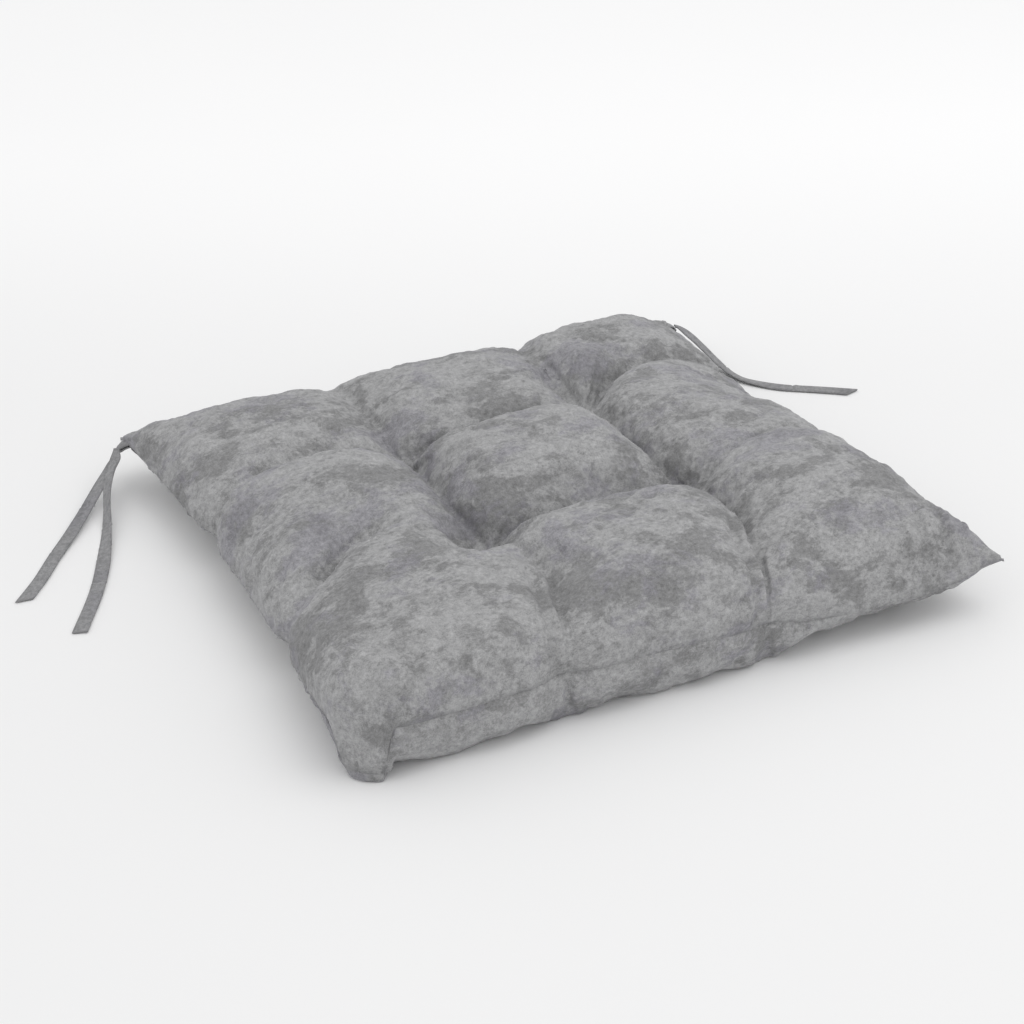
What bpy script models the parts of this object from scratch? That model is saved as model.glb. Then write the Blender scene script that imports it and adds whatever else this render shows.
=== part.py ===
"""Tufted square chair pad: a sewn two-panel case, fibre filling, four tufts and corner ties.

Frame: origin on the floor under the pad's centre, +Z up, +Y towards the edge with the ties.
Metres throughout.
"""
import math

import bmesh
import bpy
from mathutils import Vector

# Pad plan and heights
HALF_WIDTH = 0.200          # centre to side seam at a corner, along X
HALF_DEPTH = 0.199          # centre to front or back seam at a corner, along Y
SEAM_HEIGHT = 0.0235        # seam above the floor at the middle of a side
CORNER_LIFTS = {            # how much further each corner curls up, by the signs of X and Y
    (-1, 1): 0.0045,
    (1, 1): 0.0015,
    (1, -1): 0.0105,
    (-1, -1): -0.0015,
}
LIFT_SHARPNESS = {(-1, 1): 4, (1, 1): 4, (1, -1): 9, (-1, -1): 9}   # keeps a lift near its corner
FRONT_WAVE = (              # place along the front seam, its height over SEAM_HEIGHT
    (-1.0, 0.0040),
    (-0.3, 0.0085),
    (0.05, 0.0068),
    (0.4, 0.0010),
    (0.6, -0.0045),
    (0.85, -0.0050),
    (1.0, 0.0),
)
FRONT_WAVE_REACH = 0.2      # how far back the wave fades, as a share of the half depth
PUFF_RISES = (              # seam to the crest of each top puff, front row first, left to right
    (0.0430, 0.0475, 0.0435),
    (0.0430, 0.0475, 0.0400),
    (0.0340, 0.0355, 0.0440),
)
RISE_BLEND = 0.12           # half-width of the change from one puff's rise to the next
BOTTOM_DROP = 0.0360        # seam to the underside before the floor flattens it
SIDE_BOWS = {"left": 0.0105, "right": 0.0040, "front": 0.0050, "back": 0.0050}
NOTCH_PULL = 0.0050         # further pull where a tuft line meets the seam
NOTCH_HALF = 0.060          # half-width of that notch, as a share of the half side
PLUMPNESS = 0.40            # power of the puffs' round shoulder at the seam
SHOULDER = 6                # power that keeps the puffs full up to the sides

# Tufts and creases
TUFT = 0.315                # tuft line's place on the regular pattern the pad is drawn from
WARP_REACH = 0.38           # how far round a tuft line the pattern moves with it
LEFT_LINE = (               # place along the pattern, where the line lies across the pad
    (-1.0, -0.335),
    (-0.8, -0.285),
    (-0.69, -0.26),
    (-0.5, -0.275),
    (-0.315, -0.31),
    (1.0, -0.31),
)
RIGHT_LINE = (
    (-1.0, 0.285),
    (-0.75, 0.355),
    (-0.55, 0.41),
    (-0.315, 0.40),
    (0.0, 0.375),
    (0.315, 0.35),
    (1.0, 0.385),
)
FRONT_LINE = (
    (-1.0, -0.42),
    (-0.82, -0.31),
    (-0.71, -0.22),
    (-0.55, -0.24),
    (-0.315, -0.318),
    (0.315, -0.312),
    (0.5, -0.28),
    (1.0, -0.22),
)
BACK_LINE = (
    (-1.0, 0.26),
    (-0.78, 0.345),
    (-0.315, 0.315),
    (0.0, 0.315),
    (0.315, 0.34),
    (0.5, 0.44),
    (0.7, 0.50),
    (1.0, 0.50),
)
CREASE_HALF = 0.090         # half-width of a crease, as a share of the half side
TOP_CREASE = 0.32           # share of the rise lost in a top crease
TOP_TUFT = 0.40             # further share lost at a tuft
BOTTOM_CREASE = 0.30
BOTTOM_TUFT = 0.38

# Cloth, seam and filling
CLOTH = 0.0012              # cloth thickness
GAP = 0.0003                # clearance between neighbouring pieces
THREAD = 0.0008             # seam thread, square section
SEAM_GAP = THREAD / 2 + GAP     # each panel's rim stands this far from the seam line
ALLOWANCE = 0.96            # plan scale of the seam allowance's inner edge
INNER_SCALE = 0.994         # plan scale of a panel's inner face
STITCH_SCALE = 0.980        # plan scale of the seam thread
FILL_CLEARANCE = 0.0005     # filling to the inner face of a panel
INNER_CELLS = 6             # grid cells between the two tuft lines
OUTER_CELLS = 8             # grid cells from a tuft line to the seam
CELLS = INNER_CELLS + 2 * OUTER_CELLS
FILL_TRIM = 2               # grid cells between the seam and the filling's side

# Tuft threads
TUFT_CHANNEL_RADIUS = 0.0022
TUFT_SHAFT_RADIUS = 0.0014
TUFT_KNOT_RADIUS = 0.0026
TUFT_KNOT_HEIGHT = 0.0014
TUFT_KNOT_CLEARANCE = 0.0036    # knot above the bottom of the dimple, clear of its slopes
ROUND_STEPS = 12

# Closing stitches in the back seam
CLOSING_LENGTH = 0.110
CLOSING_POINTS = 29
CLOSING_REACH = 0.0020      # how far each stitch runs above and below the seam
CLOSING_THREAD = 0.0010
CLOSING_STANDOFF = 0.0010   # middle of the thread outside the rims

# Tie tapes
TAPE_WIDTH = 0.0090
TAPE_THICKNESS = 0.0012
FOLD_THICKNESS = 0.0006
FOLD_INSIDE = 0.0016        # the fold reaches this far into the seam
FOLD_OUTSIDE = 0.0036       # and stands this far out of it
FOLD_MIDDLE_Y = 0.1910
TAPE_SECTIONS = 36
TAPE_ROOT_SHARE = 0.45      # width at the root, where the tape is gathered by the seam
TAPE_ROOT_LENGTH = 0.008    # the gathered width opens out over this length
TIE_AXES = {"left": (-0.2045, 0.1910), "right": (0.2045, 0.1910)}

# Each tail's own route from its root, x, y, z of the middle of the tape
TIE_ROUTES = {
    "tie_left_front": (
        (-0.2049, 0.1906, 0.0262),
        (-0.2085, 0.1840, 0.0218),
        (-0.2150, 0.1765, 0.0162),
        (-0.2205, 0.1650, 0.0118),
        (-0.2257, 0.1490, 0.0072),
        (-0.2320, 0.1280, 0.0032),
        (-0.2400, 0.1045, 0.0013),
        (-0.2510, 0.0765, 0.0010),
        (-0.2630, 0.0500, 0.0010),
        (-0.2780, 0.0220, 0.0010),
    ),
    "tie_left_rear": (
        (-0.2050, 0.1907, 0.0236),
        (-0.2105, 0.1870, 0.0172),
        (-0.2220, 0.1765, 0.0105),
        (-0.2360, 0.1590, 0.0056),
        (-0.2530, 0.1370, 0.0024),
        (-0.2680, 0.1165, 0.0011),
        (-0.2830, 0.0930, 0.0010),
        (-0.3000, 0.0710, 0.0010),
    ),
    "tie_right_front": (
        (0.2050, 0.1908, 0.0238),
        (0.2080, 0.1900, 0.0222),
        (0.2120, 0.1868, 0.0188),
        (0.2155, 0.1815, 0.0150),
        (0.2185, 0.1740, 0.0108),
        (0.2205, 0.1620, 0.0068),
        (0.2222, 0.1480, 0.0036),
        (0.2260, 0.1340, 0.0018),
        (0.2335, 0.1220, 0.0012),
        (0.2450, 0.1090, 0.0010),
        (0.2620, 0.0960, 0.0010),
        (0.2860, 0.0770, 0.0010),
    ),
    "tie_right_rear": (
        (0.2048, 0.1914, 0.0202),
        (0.2050, 0.1990, 0.0130),
        (0.2000, 0.2080, 0.0072),
        (0.1880, 0.2145, 0.0034),
        (0.1720, 0.2180, 0.0014),
        (0.1500, 0.2205, 0.0010),
        (0.1260, 0.2215, 0.0010),
        (0.1000, 0.2215, 0.0010),
        (0.0700, 0.2205, 0.0010),
        (0.0450, 0.2195, 0.0010),
    ),
}

# Colours
TOP_GREY = (0.360, 0.360, 0.372)
BOTTOM_GREY = (0.320, 0.320, 0.332)
FIBRE_WHITE = (0.86, 0.86, 0.84)
THREAD_GREY = (0.250, 0.250, 0.262)
TAPE_GREY = (0.270, 0.270, 0.280)


def clear_scene():
    for obj in list(bpy.data.objects):
        bpy.data.objects.remove(obj, do_unlink=True)


def make_material(name, colour, roughness):
    material = bpy.data.materials.new(name)
    material.use_nodes = True
    shader = material.node_tree.nodes["Principled BSDF"]
    shader.inputs["Base Color"].default_value = (*colour, 1.0)
    shader.inputs["Roughness"].default_value = roughness
    shader.inputs["Metallic"].default_value = 0.0
    return material


def read_table(keys, t):
    """Straight-line reading of a table of (place, value)."""
    for (low, low_value), (high, high_value) in zip(keys, keys[1:]):
        if t <= high:
            share = max(0.0, (t - low) / (high - low))
            return low_value + (high_value - low_value) * share
    return keys[-1][1]


def line_reach(t, line):
    """How much of a tuft line's move a pattern place t takes: 1 on the line, 0 at the seam."""
    return math.exp(-(((t - line) / WARP_REACH) ** 2)) * (1 - t * t) / (1 - TUFT * TUFT)


def warp(s, t):
    """Where a pattern place lies on the pad, each from -1 to 1."""
    u = s + (read_table(LEFT_LINE, t) + TUFT) * line_reach(s, -TUFT)
    u += (read_table(RIGHT_LINE, t) - TUFT) * line_reach(s, TUFT)
    v = t + (read_table(FRONT_LINE, s) + TUFT) * line_reach(t, -TUFT)
    v += (read_table(BACK_LINE, s) - TUFT) * line_reach(t, TUFT)
    return u, v


def side_pull(place, pattern_place, bow):
    """How far a side stands in from its corners' line, at a place from -1 to 1 along it."""
    notch = math.exp(-(((abs(pattern_place) - TUFT) / NOTCH_HALF) ** 2))
    return bow * (1 - place * place) + NOTCH_PULL * notch


def plan(s, t):
    """Plan position of the pad's pattern place (s, t)."""
    u, v = warp(s, t)
    across = HALF_WIDTH - side_pull(v, t, SIDE_BOWS["left" if u < 0 else "right"])
    along = HALF_DEPTH - side_pull(u, s, SIDE_BOWS["front" if v < 0 else "back"])
    return u * across, v * along


def seam_height(s, t):
    u, v = warp(s, t)
    height = SEAM_HEIGHT
    for (side_x, side_y), lift in CORNER_LIFTS.items():
        nearness = (1 + side_x * u) * (1 + side_y * v) / 4
        height += lift * nearness ** LIFT_SHARPNESS[(side_x, side_y)]
    return height + read_table(FRONT_WAVE, u) * math.exp(-(v + 1) / FRONT_WAVE_REACH)


def smoothstep(low, high, value):
    share = min(1.0, max(0.0, (value - low) / (high - low)))
    return share * share * (3 - 2 * share)


def puff_shares(place):
    """Shares of the low, middle and high puff at a pattern place."""
    past_low = smoothstep(-TUFT - RISE_BLEND, -TUFT + RISE_BLEND, place)
    past_high = smoothstep(TUFT - RISE_BLEND, TUFT + RISE_BLEND, place)
    return 1 - past_low, past_low * (1 - past_high), past_high


def puff_rise(s, t):
    rise = 0
    for row_share, row in zip(puff_shares(t), PUFF_RISES):
        for column_share, puff in zip(puff_shares(s), row):
            rise += row_share * column_share * puff
    return rise


def fullness(s, t, crease_depth, tuft_depth):
    """Share of the full puff height at (s, t): 0 at the seam, least inside at a tuft."""
    u, v = warp(s, t)
    shoulder = max(0.0, 1 - abs(u) ** SHOULDER) * max(0.0, 1 - abs(v) ** SHOULDER)
    crease_s = math.exp(-(((abs(s) - TUFT) / CREASE_HALF) ** 2))
    crease_t = math.exp(-(((abs(t) - TUFT) / CREASE_HALF) ** 2))
    both = crease_s * crease_t
    loss = crease_depth * (crease_s + crease_t - both) + tuft_depth * both
    return shoulder ** PLUMPNESS * (1 - loss)


def top_height(s, t):
    rise = puff_rise(s, t) * fullness(s, t, TOP_CREASE, TOP_TUFT)
    return seam_height(s, t) + SEAM_GAP + rise


def bottom_height(s, t):
    drop = BOTTOM_DROP * fullness(s, t, BOTTOM_CREASE, BOTTOM_TUFT)
    return max(0.0, seam_height(s, t) - SEAM_GAP - drop)


def grid_steps(trim=0):
    """Grid coordinates from -1 to 1, closer together towards the seam, less trim at each end."""
    outer = []
    for index in range(1, OUTER_CELLS + 1):
        outer.append(TUFT + (1 - TUFT) * math.sin(math.pi / 2 * index / OUTER_CELLS))
    inner = [TUFT * (2 * index / INNER_CELLS - 1) for index in range(INNER_CELLS + 1)]
    steps = [-step for step in reversed(outer)] + inner + outer
    return steps[trim : len(steps) - trim]


def outline(last):
    """A square grid's outline, anticlockwise seen from above, as (column, row) pairs."""
    front = [(column, 0) for column in range(last)]
    right = [(last, row) for row in range(last)]
    back = [(column, last) for column in range(last, 0, -1)]
    left = [(0, row) for row in range(last, 0, -1)]
    return front + right + back + left


def grid_points(mesh, scale, height_at, trim=0):
    """Vertices of one face of the pad: plan scaled about the centre, height by rule."""
    steps = grid_steps(trim)
    rows = []
    for t in steps:
        row = []
        for s in steps:
            x, y = plan(s, t)
            row.append(mesh.verts.new((x * scale, y * scale, height_at(s, t))))
        rows.append(row)
    return rows


def grid_faces(mesh, rows, facing_up):
    """Two triangles a cell, split along the diagonal that points to the nearest pad corner."""
    cells = len(rows) - 1
    for row in range(cells):
        for column in range(cells):
            corners = [
                rows[row][column],
                rows[row][column + 1],
                rows[row + 1][column + 1],
                rows[row + 1][column],
            ]
            if (2 * row < cells) != (2 * column < cells):
                corners = corners[1:] + corners[:1]
            for face in (corners[:3], corners[2:] + corners[:1]):
                mesh.faces.new(face if facing_up else face[::-1])


def rim_of(rows):
    return [rows[row][column] for column, row in outline(len(rows) - 1)]


def ring_at(mesh, scale, height_at):
    """A ring of vertices parallel to the seam, at a plan scale."""
    steps = grid_steps()
    ring = []
    for column, row in outline(CELLS):
        s, t = steps[column], steps[row]
        x, y = plan(s, t)
        ring.append(mesh.verts.new((x * scale, y * scale, height_at(s, t))))
    return ring


def bridge(mesh, first, second, flip):
    """A band of faces between two rings of the same length."""
    count = len(first)
    for index in range(count):
        after = (index + 1) % count
        corners = [first[index], first[after], second[after], second[index]]
        mesh.faces.new(corners[::-1] if flip else corners)


def section_at(mesh, centre, half_width, half_thickness):
    """One rectangular section of a strip."""
    return [
        mesh.verts.new(centre - half_width - half_thickness),
        mesh.verts.new(centre + half_width - half_thickness),
        mesh.verts.new(centre + half_width + half_thickness),
        mesh.verts.new(centre - half_width + half_thickness),
    ]


def sweep(mesh, sections):
    """A closed strip through its sections, with flat ends."""
    for first, second in zip(sections, sections[1:]):
        bridge(mesh, first, second, False)
    mesh.faces.new(sections[0])
    mesh.faces.new(sections[-1][::-1])


def finish_object(name, mesh, material):
    bmesh.ops.recalc_face_normals(mesh, faces=mesh.faces)
    bmesh.ops.triangulate(mesh, faces=mesh.faces)
    data = bpy.data.meshes.new(name)
    mesh.to_mesh(data)
    mesh.free()
    data.materials.append(material)
    data.shade_smooth()
    data.set_sharp_from_angle(angle=math.radians(50))
    obj = bpy.data.objects.new(name, data)
    bpy.context.scene.collection.objects.link(obj)
    return obj


def make_panel(name, material, outer_height, side):
    """A cover panel with its seam allowance folded in; side is 1 above the seam, -1 below."""

    def rim_height(s, t):
        return seam_height(s, t) + side * SEAM_GAP

    def fold_height(s, t):
        return rim_height(s, t) + side * CLOTH

    def inner_height(s, t):
        inner = outer_height(s, t) - side * CLOTH
        limit = fold_height(s, t)
        return max(inner, limit) if side > 0 else min(inner, limit)

    mesh = bmesh.new()
    outer = grid_points(mesh, 1.0, outer_height)
    inner = grid_points(mesh, INNER_SCALE, inner_height)
    grid_faces(mesh, outer, side > 0)
    grid_faces(mesh, inner, side < 0)
    allowance_outer = ring_at(mesh, ALLOWANCE, rim_height)
    allowance_inner = ring_at(mesh, ALLOWANCE, fold_height)
    flip = side < 0
    bridge(mesh, rim_of(outer), allowance_outer, flip)
    bridge(mesh, allowance_outer, allowance_inner, flip)
    bridge(mesh, allowance_inner, rim_of(inner), flip)
    return finish_object(name, mesh, material)


def make_filling(name, material):
    """The fibre mass: it follows both panels from inside and stops short of the seam."""
    clearance = CLOTH + FILL_CLEARANCE

    def upper(s, t):
        return top_height(s, t) - clearance

    def lower(s, t):
        return bottom_height(s, t) + clearance

    mesh = bmesh.new()
    top = grid_points(mesh, INNER_SCALE, upper, FILL_TRIM)
    bottom = grid_points(mesh, INNER_SCALE, lower, FILL_TRIM)
    grid_faces(mesh, top, True)
    grid_faces(mesh, bottom, False)
    bridge(mesh, rim_of(top), rim_of(bottom), True)
    return finish_object(name, mesh, material)


def make_seam_stitching(name, material):
    """A square-section thread ring between the two seam allowances."""
    half = THREAD / 2
    inset = THREAD / HALF_WIDTH

    def above(s, t):
        return seam_height(s, t) + half

    def below(s, t):
        return seam_height(s, t) - half

    mesh = bmesh.new()
    rings = [
        ring_at(mesh, STITCH_SCALE, below),
        ring_at(mesh, STITCH_SCALE, above),
        ring_at(mesh, STITCH_SCALE - inset, above),
        ring_at(mesh, STITCH_SCALE - inset, below),
    ]
    for index, ring in enumerate(rings):
        bridge(mesh, ring, rings[(index + 1) % len(rings)], False)
    return finish_object(name, mesh, material)


def tuft_places():
    """Tuft names with the plan position of each."""
    places = []
    for row_name, t in (("front", -TUFT), ("back", TUFT)):
        for side_name, s in (("left", -TUFT), ("right", TUFT)):
            places.append((f"tuft_{row_name}_{side_name}", s, t))
    return places


def cut_tuft_channels(obj):
    """Cut the four tuft channels through a piece."""
    for name, s, t in tuft_places():
        x, y = plan(s, t)
        mesh = bmesh.new()
        bmesh.ops.create_cone(
            mesh,
            cap_ends=True,
            segments=ROUND_STEPS,
            radius1=TUFT_CHANNEL_RADIUS,
            radius2=TUFT_CHANNEL_RADIUS,
            depth=4 * HALF_DEPTH,
        )
        data = bpy.data.meshes.new(f"{name}_channel")
        mesh.to_mesh(data)
        mesh.free()
        cutter = bpy.data.objects.new(f"{obj.name}_{name}_channel", data)
        bpy.context.scene.collection.objects.link(cutter)
        cutter.location = (x, y, 0)
        cutter.hide_render = True
        cutter.display_type = "WIRE"
        cut = obj.modifiers.new(f"{name}_channel", "BOOLEAN")
        cut.operation = "DIFFERENCE"
        cut.solver = "EXACT"
        cut.object = cutter


def make_tuft(name, s, t, material):
    """A tuft thread: a shaft through the pad with a flat knot above and below."""
    x, y = plan(s, t)
    top = top_height(s, t) + TUFT_KNOT_CLEARANCE
    bottom = bottom_height(s, t) - TUFT_KNOT_CLEARANCE
    profile = (
        (0, bottom - TUFT_KNOT_HEIGHT),
        (TUFT_KNOT_RADIUS, bottom - TUFT_KNOT_HEIGHT),
        (TUFT_KNOT_RADIUS, bottom),
        (TUFT_SHAFT_RADIUS, bottom),
        (TUFT_SHAFT_RADIUS, top),
        (TUFT_KNOT_RADIUS, top),
        (TUFT_KNOT_RADIUS, top + TUFT_KNOT_HEIGHT),
        (0, top + TUFT_KNOT_HEIGHT),
    )
    mesh = bmesh.new()
    points = [mesh.verts.new((radius, 0, height)) for radius, height in profile]
    edges = [mesh.edges.new(pair) for pair in zip(points, points[1:])]
    bmesh.ops.spin(
        mesh,
        geom=points + edges,
        cent=(0, 0, 0),
        axis=(0, 0, 1),
        angle=2 * math.pi,
        steps=ROUND_STEPS,
        use_merge=True,
    )
    bmesh.ops.remove_doubles(mesh, verts=mesh.verts, dist=1e-6)
    obj = finish_object(name, mesh, material)
    obj.location = (x, y, 0)
    return obj


def make_closing_stitches(name, material):
    """One thread that zigzags across the back seam to close the filling gap."""
    outward = Vector((0, CLOSING_THREAD / 2, 0))
    upward = Vector((0, 0, CLOSING_THREAD / 2))
    mesh = bmesh.new()
    sections = []
    for index in range(CLOSING_POINTS):
        s = CLOSING_LENGTH * (index / (CLOSING_POINTS - 1) - 0.5) / HALF_WIDTH
        swing = CLOSING_REACH if index % 2 else -CLOSING_REACH
        x, y = plan(s, 1.0)
        centre = Vector((x, y + CLOSING_STANDOFF, seam_height(s, 1.0) + swing))
        sections.append(section_at(mesh, centre, outward, upward))
    sweep(mesh, sections)
    return finish_object(name, mesh, material)


def smooth_route(points, count):
    """Points evenly spaced along a smooth (Catmull-Rom) curve through the route's own points."""
    route = [Vector(point) for point in points]
    route = [2 * route[0] - route[1]] + route + [2 * route[-1] - route[-2]]
    dense = []
    per_span = 24
    for index in range(1, len(route) - 2):
        before, start, end, after = route[index - 1 : index + 3]
        for step in range(per_span):
            t = step / per_span
            dense.append(
                0.5
                * (
                    2 * start
                    + (end - before) * t
                    + (2 * before - 5 * start + 4 * end - after) * t**2
                    + (3 * start - before - 3 * end + after) * t**3
                )
            )
    dense.append(route[-2])
    lengths = [0.0]
    for first, second in zip(dense, dense[1:]):
        lengths.append(lengths[-1] + (second - first).length)
    spaced = []
    place = 0
    for step in range(count + 1):
        target = lengths[-1] * step / count
        while place < len(dense) - 2 and lengths[place + 1] < target:
            place += 1
        span = lengths[place + 1] - lengths[place]
        share = (target - lengths[place]) / span
        spaced.append(dense[place].lerp(dense[place + 1], share))
    return spaced, lengths[-1]


def make_tail(name, route, pivot, material):
    """A flat tape along its route, with its origin on the upright axis it swings about."""
    middle, length = smooth_route(route, TAPE_SECTIONS)
    origin = Vector((*pivot, 0.0))
    mesh = bmesh.new()
    sections = []
    for index, point in enumerate(middle):
        ahead = middle[min(index + 1, TAPE_SECTIONS)]
        behind = middle[max(index - 1, 0)]
        along = (ahead - behind).normalized()
        across = Vector((0, 0, 1)).cross(along).normalized()
        up = along.cross(across)
        opened = min(1.0, length * index / TAPE_SECTIONS / TAPE_ROOT_LENGTH)
        share = TAPE_ROOT_SHARE + (1 - TAPE_ROOT_SHARE) * opened
        half_width = across * TAPE_WIDTH * share / 2
        half_thickness = up * TAPE_THICKNESS / 2
        sections.append(section_at(mesh, point - origin, half_width, half_thickness))
    sweep(mesh, sections)
    obj = finish_object(name, mesh, material)
    obj.location = origin
    return obj


def make_fold(name, side, material):
    """The folded middle of a tape, caught in the side seam next to a back corner."""
    mesh = bmesh.new()
    half_length = Vector(((FOLD_INSIDE + FOLD_OUTSIDE) / 2, 0, 0))
    half_thickness = Vector((0, 0, FOLD_THICKNESS / 2))
    ends = []
    for y in (FOLD_MIDDLE_Y - TAPE_WIDTH / 2, FOLD_MIDDLE_Y + TAPE_WIDTH / 2):
        t = y / HALF_DEPTH
        x = plan(side, t)[0] + side * (FOLD_OUTSIDE - FOLD_INSIDE) / 2
        centre = Vector((x, y, seam_height(side, t)))
        ends.append(section_at(mesh, centre, half_length, half_thickness))
    sweep(mesh, ends)
    return finish_object(name, mesh, material)


def build():
    clear_scene()
    top_cloth = make_material("top_cloth", TOP_GREY, 0.9)
    bottom_cloth = make_material("bottom_cloth", BOTTOM_GREY, 0.9)
    fibre = make_material("fibre", FIBRE_WHITE, 1.0)
    thread = make_material("thread", THREAD_GREY, 0.7)
    tape = make_material("tape", TAPE_GREY, 0.9)

    cut_tuft_channels(make_panel("top_panel", top_cloth, top_height, 1))
    cut_tuft_channels(make_panel("bottom_panel", bottom_cloth, bottom_height, -1))
    cut_tuft_channels(make_filling("fibre_filling", fibre))
    make_seam_stitching("seam_stitching", thread)
    make_closing_stitches("closing_stitches", thread)
    for name, s, t in tuft_places():
        make_tuft(name, s, t, thread)
    make_fold("tie_left_fold", -1, tape)
    make_fold("tie_right_fold", 1, tape)
    for name, route in TIE_ROUTES.items():
        side_name = name.split("_")[1]
        make_tail(name, route, TIE_AXES[side_name], tape)


build()
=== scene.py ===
"""Looks of a tufted chair seat pad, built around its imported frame.

Metres throughout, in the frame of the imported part: floor at Z 0, ties at the +Y side.
"""

import math

import bpy
import numpy as np
from mathutils import Matrix, Vector


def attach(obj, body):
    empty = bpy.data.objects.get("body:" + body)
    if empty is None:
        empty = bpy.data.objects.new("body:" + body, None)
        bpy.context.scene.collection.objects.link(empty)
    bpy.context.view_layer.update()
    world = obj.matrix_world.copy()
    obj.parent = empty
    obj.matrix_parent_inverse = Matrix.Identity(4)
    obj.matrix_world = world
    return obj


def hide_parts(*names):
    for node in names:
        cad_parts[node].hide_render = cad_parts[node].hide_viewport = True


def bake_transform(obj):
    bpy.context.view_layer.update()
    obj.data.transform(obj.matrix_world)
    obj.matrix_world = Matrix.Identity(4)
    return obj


# Camera
CAMERA_AZIMUTH = -23.823
CAMERA_ELEVATION = 29.141
CAMERA_ROLL = -2.0
CAMERA_DISTANCE = 1.3174
CAMERA_TARGET = (-0.0168, -0.0124, 0.0300)
CAMERA_LENS = 76.87
CAMERA_SENSOR = 36.0

# Pad plan and seam, as in the part
HALF_WIDTH = 0.200
HALF_DEPTH = 0.199
SIDE_BOWS = {"left": 0.0122, "right": 0.0040, "front": 0.0050, "back": 0.0050}
NOTCH_PULL = 0.0050
NOTCH_HALF = 0.060
SEAM_HEIGHT = 0.0238
CORNER_LIFTS = {(-1, 1): 0.0042, (1, 1): 0.0012, (1, -1): 0.0105, (-1, -1): 0.0040}
LIFT_SHARPNESS = {(-1, 1): 4, (1, 1): 4, (1, -1): 9, (-1, -1): 9}
# The seam turns under round the front left corner: drop, tuck, and where it starts and ends
UNDER_DROP = 0.0275
UNDER_TUCK = 0.0020
UNDER_FRONT = (0.845, 0.905)
UNDER_LEFT = (0.82, 0.97)
# Height of the front seam over SEAM_HEIGHT, by place along it
FRONT_WAVE = (
    (-1, 0.0060), (-0.75, 0.0068), (-0.5, 0.0080), (-0.3, 0.0085), (0.05, 0.0068),
    (0.4, 0.0010), (0.6, -0.0045), (0.85, -0.0055), (1, 0),
)
FRONT_WAVE_REACH = 0.2
NUB_REACH = 0.0040          # the front right tip stands out and is rounded
NUB_SHARPNESS = 60

# The tuft lines are drawn on a regular pattern, then moved to where they lie on the pad
TUFT = 0.315
WARP_REACH = 0.38
# Each line: (place along it on the pattern, where it lies across the pad), both -1 to 1
LEFT_LINE = (
    (-1, -0.335), (-0.9, -0.312), (-0.8, -0.285), (-0.69, -0.260), (-0.5, -0.275), (-0.315, -0.31),
    (0, -0.315), (0.315, -0.305), (0.5, -0.305), (0.7, -0.31), (1, -0.31),
)
RIGHT_LINE = (
    (-1, 0.285), (-0.9, 0.310), (-0.75, 0.355), (-0.55, 0.410), (-0.315, 0.400),
    (0, 0.375), (0.315, 0.35), (0.45, 0.345), (0.7, 0.36), (1, 0.385),
)
FRONT_LINE = (
    (-1, -0.42), (-0.92, -0.39), (-0.82, -0.31), (-0.71, -0.22), (-0.55, -0.24), (-0.42, -0.30),
    (-0.315, -0.318), (0, -0.315), (0.315, -0.312), (0.5, -0.28), (0.75, -0.24), (1, -0.22),
)
BACK_LINE = (
    (-1, 0.26), (-0.88, 0.32), (-0.78, 0.345), (-0.65, 0.350), (-0.5, 0.335), (-0.315, 0.315),
    (0, 0.315), (0.315, 0.34), (0.5, 0.44), (0.7, 0.50), (1, 0.50),
)
# Depth of each line's crease along it
LEFT_DEPTHS = ((-1, 1.0), (-0.8, 1.1), (-0.5, 0.55), (-0.315, 1), (0, 1), (0.315, 1), (0.6, 1.15), (1, 1))
RIGHT_DEPTHS = ((-1, 1.0), (-0.7, 1.3), (-0.4, 1.2), (0, 1.05), (0.315, 1), (0.6, 1.2), (1, 1.2))
FRONT_DEPTHS = (
    (-1, 0.9), (-0.8, 1.6), (-0.68, 1.1), (-0.54, 0.15), (-0.42, 0.5), (-0.315, 1), (0, 1.15), (0.315, 1),
    (0.5, 0.45), (0.8, 0.3), (1, 0.3),
)
BACK_DEPTHS = ((-1, 0.6), (-0.7, 0.85), (-0.315, 1), (0, 1), (0.315, 1), (0.6, 0.95), (0.8, 0.7), (1, 0.5))

# Puffs before they are blown up: height over the seam, front row first, left to right
PUFF_RISES = ((0.0430, 0.0475, 0.0435), (0.0430, 0.0475, 0.0400), (0.0338, 0.0352, 0.0424))
PUFF_BLEND = 0.12           # reach each side of a tuft line over which one rise becomes the next
# Local fullness of the top: place on the pad, reach both ways, height
HUMPS = (
    ((0.84, 0.80), (0.18, 0.24), 0.0105),
    ((0.92, 0.25), (0.20, 0.28), -0.0095),
    ((0.85, -0.60), (0.25, 0.30), 0.0015),
    ((0.46, 0.92), (0.10, 0.20), -0.0060),
    ((-0.37, -0.38), (0.10, 0.15), -0.0110),
)
BOTTOM_DROP = 0.0400
CREASE_WIDTH = 0.055
CREASE_ROUND = 0.012
LINE_DEPTH = 0.10          # share of the rise lost all along a tuft line
PULL_DEPTH = 0.46          # further share lost on it near the tufts
PULL_REACH = 0.30
DIMPLE_DEPTH = 0.06
DIMPLE_REACH = 0.075
# Shoulders by side: power that keeps a puff full up to the seam, and power of its round
TOP_SHOULDERS = {"left": (5, 0.42), "right": (7, 0.38), "front": (6, 0.38), "back": (4.5, 0.45)}
BOTTOM_SHOULDERS = {"left": (2.2, 0.95), "right": (4, 0.60), "front": (12, 0.36), "back": (4, 0.60)}
KNIFE_SHOULDER = (4.2, 0.80)    # back part of the right side, where the pad is thin
KNIFE_BACK = (-0.25, 0.45)      # where it sets in towards the back, and towards the right
KNIFE_RIGHT = (0.0, 0.5)
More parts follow.
